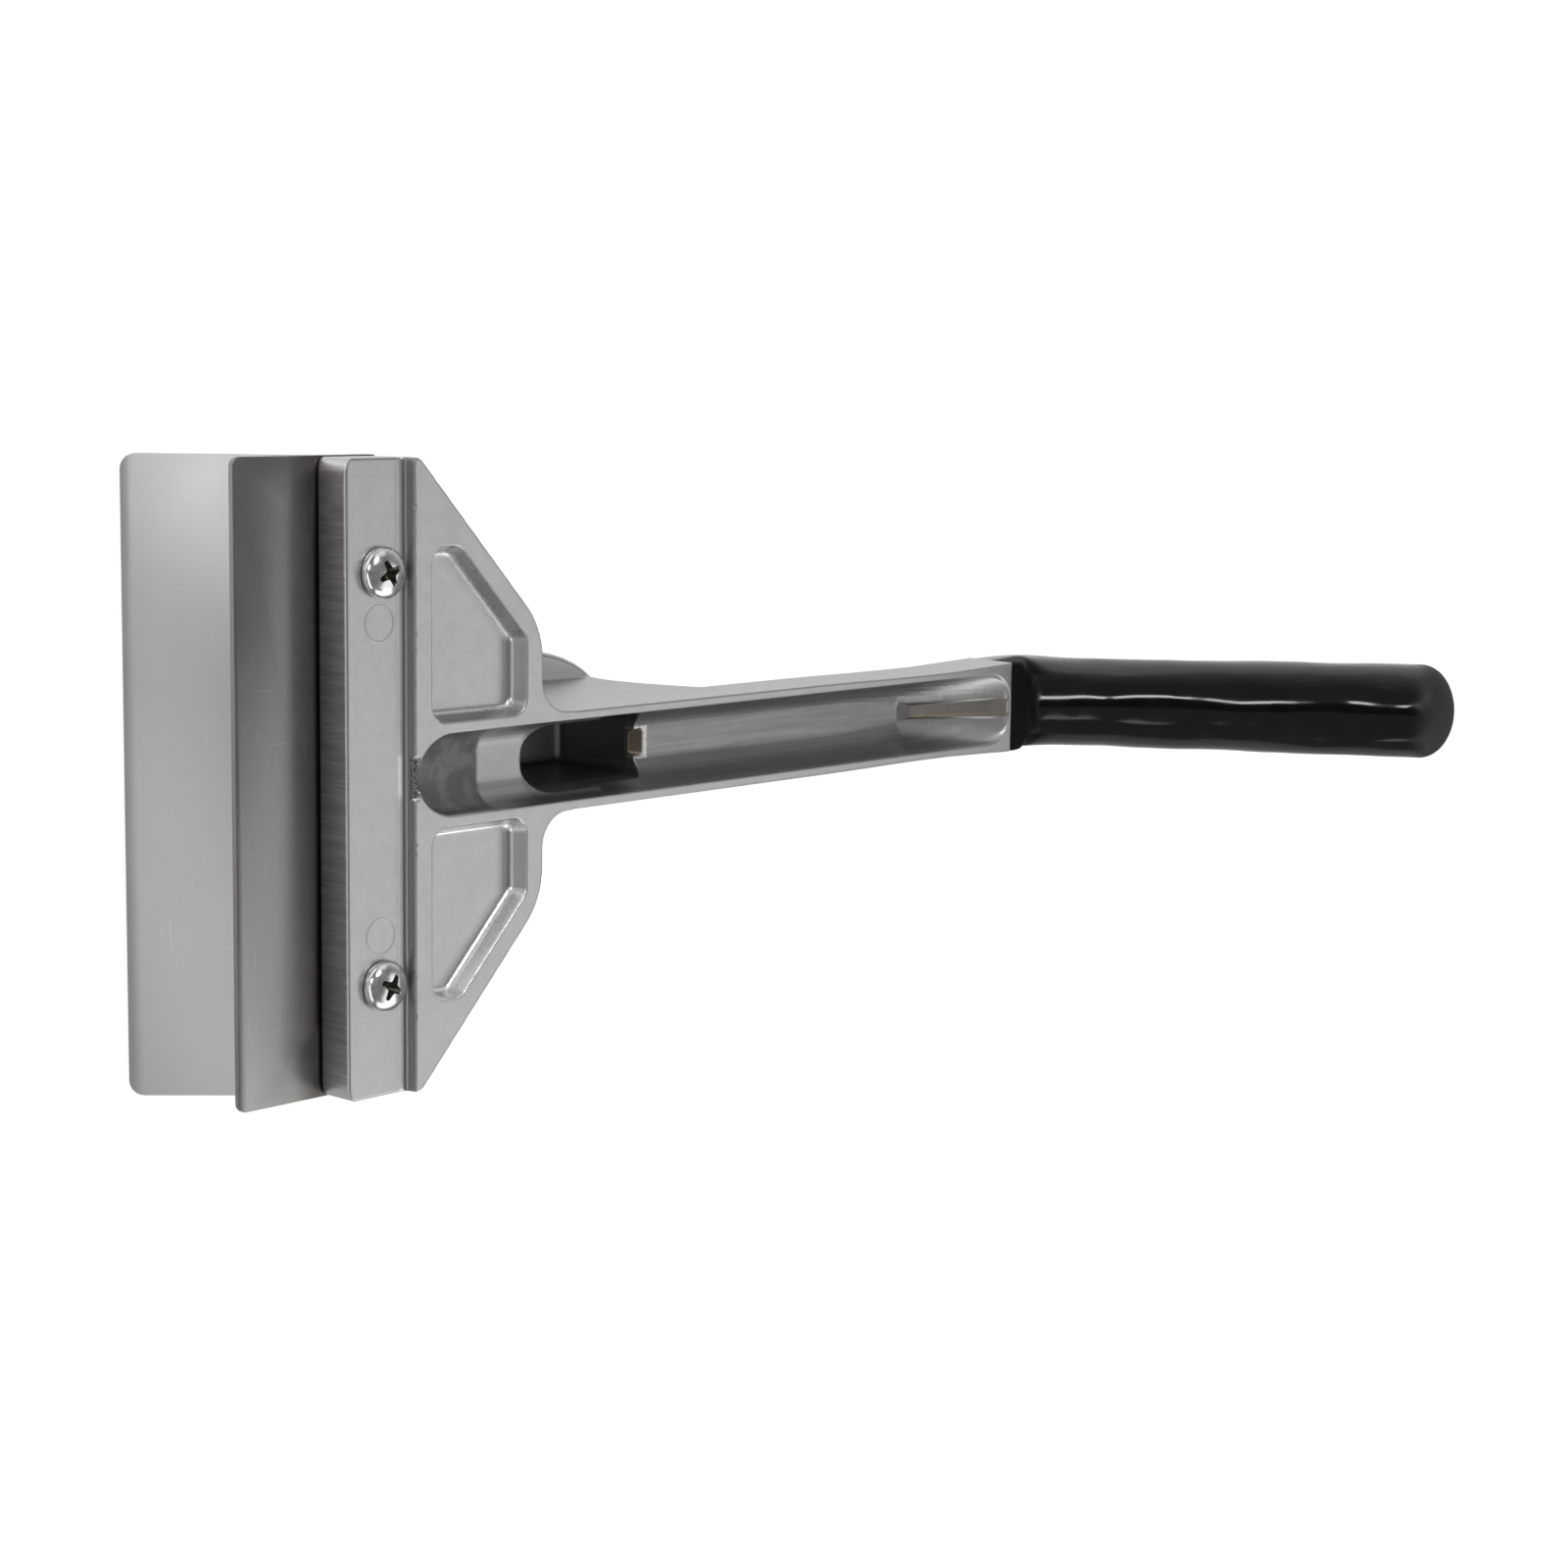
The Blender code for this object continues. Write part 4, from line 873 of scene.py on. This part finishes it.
def make_floor():
    """Plain pale floor that keeps its shadow and shows white to the camera."""
    half = FLOOR_HALF
    mesh = bpy.data.meshes.new("floor")
    corners = [(-half, -half, 0), (half, -half, 0), (half, half, 0), (-half, half, 0)]
    mesh.from_pydata(corners, [], [(0, 1, 2, 3)])
    floor = bpy.data.objects.new("floor", mesh)
    bpy.context.scene.collection.objects.link(floor)
    floor.location.z = -FLOOR_DROP
    mat = bpy.data.materials.new("floor_look")
    mat.use_nodes = True
    nodes, links = mat.node_tree.nodes, mat.node_tree.links
    bsdf = nodes["Principled BSDF"]
    bsdf.inputs["Base Color"].default_value = (0.6, 0.6, 0.6, 1.0)
    bsdf.inputs["Roughness"].default_value = 0.9
    coord = nodes.new("ShaderNodeTexCoord")
    split = nodes.new("ShaderNodeSeparateXYZ")
    links.new(coord.outputs["Object"], split.inputs["Vector"])
    side = soft_step(nodes, links, split.outputs["Y"], FLOOR_SHEEN)
    path = nodes.new("ShaderNodeLightPath")
    lift = None
    rays = (("Is Camera Ray", FLOOR_LIFT), ("Is Glossy Ray", side), ("Is Transmission Ray", side))
    for ray, strength in rays:
        part = nodes.new("ShaderNodeMath")
        part.operation = "MULTIPLY_ADD"
        links.new(path.outputs[ray], part.inputs[0])
        if strength is side:
            links.new(side, part.inputs[1])
        else:
            part.inputs[1].default_value = strength
        part.inputs[2].default_value = 0.0
        if lift:
            links.new(lift, part.inputs[2])
        lift = part.outputs[0]
    bsdf.inputs["Emission Color"].default_value = (1.0, 1.0, 1.0, 1.0)
    links.new(lift, bsdf.inputs["Emission Strength"])
    mesh.materials.append(mat)


def make_world():
    """Studio surroundings: pale walls low on three sides, dim ceiling, dim side behind the blades."""
    world = bpy.data.worlds.new("studio")
    bpy.context.scene.world = world
    world.use_nodes = True
    nodes, links = world.node_tree.nodes, world.node_tree.links
    back = nodes["Background"]
    back.inputs["Color"].default_value = (1.0, 1.0, 1.0, 1.0)
    coord = nodes.new("ShaderNodeTexCoord")
    split = nodes.new("ShaderNodeSeparateXYZ")
    links.new(coord.outputs["Generated"], split.inputs["Vector"])

    level = soft_step(nodes, links, split.outputs["Z"], (0.15, 0.7, WALL_LEVEL, 0.0))
    for axis, low, high in (("X", -0.55, 0.2), ("Y", -0.35, 0.65)):
        node = nodes.new("ShaderNodeMath")
        node.operation = "MULTIPLY"
        links.new(level, node.inputs[0])
        links.new(soft_step(nodes, links, split.outputs[axis], (low, high, 0.0, 1.0)), node.inputs[1])
        level = node.outputs[0]
    total = nodes.new("ShaderNodeMath")
    total.operation = "ADD"
    links.new(level, total.inputs[0])
    total.inputs[1].default_value = CEILING_LEVEL
    # Dark hood round the strobe
    toward = nodes.new("ShaderNodeVectorMath")
    toward.operation = "DOT_PRODUCT"
    links.new(coord.outputs["Generated"], toward.inputs[0])
    toward.inputs[1].default_value = FLAG_SIDE
    hood = nodes.new("ShaderNodeMath")
    hood.operation = "MULTIPLY"
    links.new(total.outputs[0], hood.inputs[0])
    links.new(soft_step(nodes, links, toward.outputs["Value"], HOOD_EDGE), hood.inputs[1])
    path = nodes.new("ShaderNodeLightPath")
    pick = nodes.new("ShaderNodeMix")
    pick.data_type = "FLOAT"
    links.new(path.outputs["Is Camera Ray"], pick.inputs["Factor"])
    links.new(hood.outputs[0], pick.inputs[2])
    pick.inputs[3].default_value = 1.0
    links.new(pick.outputs[0], back.inputs["Strength"])


def area_light(name, place, target, size_x, size_y, radiance):
    """Rectangular lamp at a place, turned towards a target, with the given brightness."""
    light = bpy.data.lights.new(name, "AREA")
    light.shape = "RECTANGLE"
    light.size = size_x
    light.size_y = size_y
    light.energy = radiance * math.pi * size_x * size_y
    ob = bpy.data.objects.new(name, light)
    bpy.context.scene.collection.objects.link(ob)
    ob.location = place
    ob.rotation_euler = (Vector(target) - Vector(place)).to_track_quat("-Z", "Y").to_euler()
    return ob


def soft_box(name, direction, distance, width, height, radiance):
    """Area lamp seen from the object in the given direction with the given brightness."""
    away = Vector(direction).normalized() * distance + Vector(LAMP_AIM)
    area_light(name, away, LAMP_AIM, width, height, radiance)


def make_lights():
    """Studio lamps: soft boxes round the object and a card low by the blades."""
    for box in SOFT_BOXES:
        soft_box(*box)
    area_light("card", CARD_PLACE, CARD_TARGET, CARD_WIDTH, CARD_HEIGHT, CARD_LEVEL)


def make_camera():
    """Camera where the photographer's stood."""
    data = bpy.data.cameras.new("camera")
    data.lens = CAMERA_LENS
    data.sensor_width = SENSOR
    data.sensor_fit = "HORIZONTAL"
    camera = bpy.data.objects.new("camera", data)
    bpy.context.scene.collection.objects.link(camera)
    right = CAMERA_RIGHT.normalized()
    back = right.cross(CAMERA_UP).normalized()
    up = back.cross(right)
    matrix = Matrix((right, up, back)).transposed().to_4x4()
    matrix.translation = at(CAMERA_S, CAMERA_Y, CAMERA_N)
    camera.matrix_world = matrix
    bpy.context.scene.camera = camera


bpy.context.scene.view_settings.view_transform = "Standard"
make_camera()
make_world()
make_floor()
make_lights()
make_pieces()
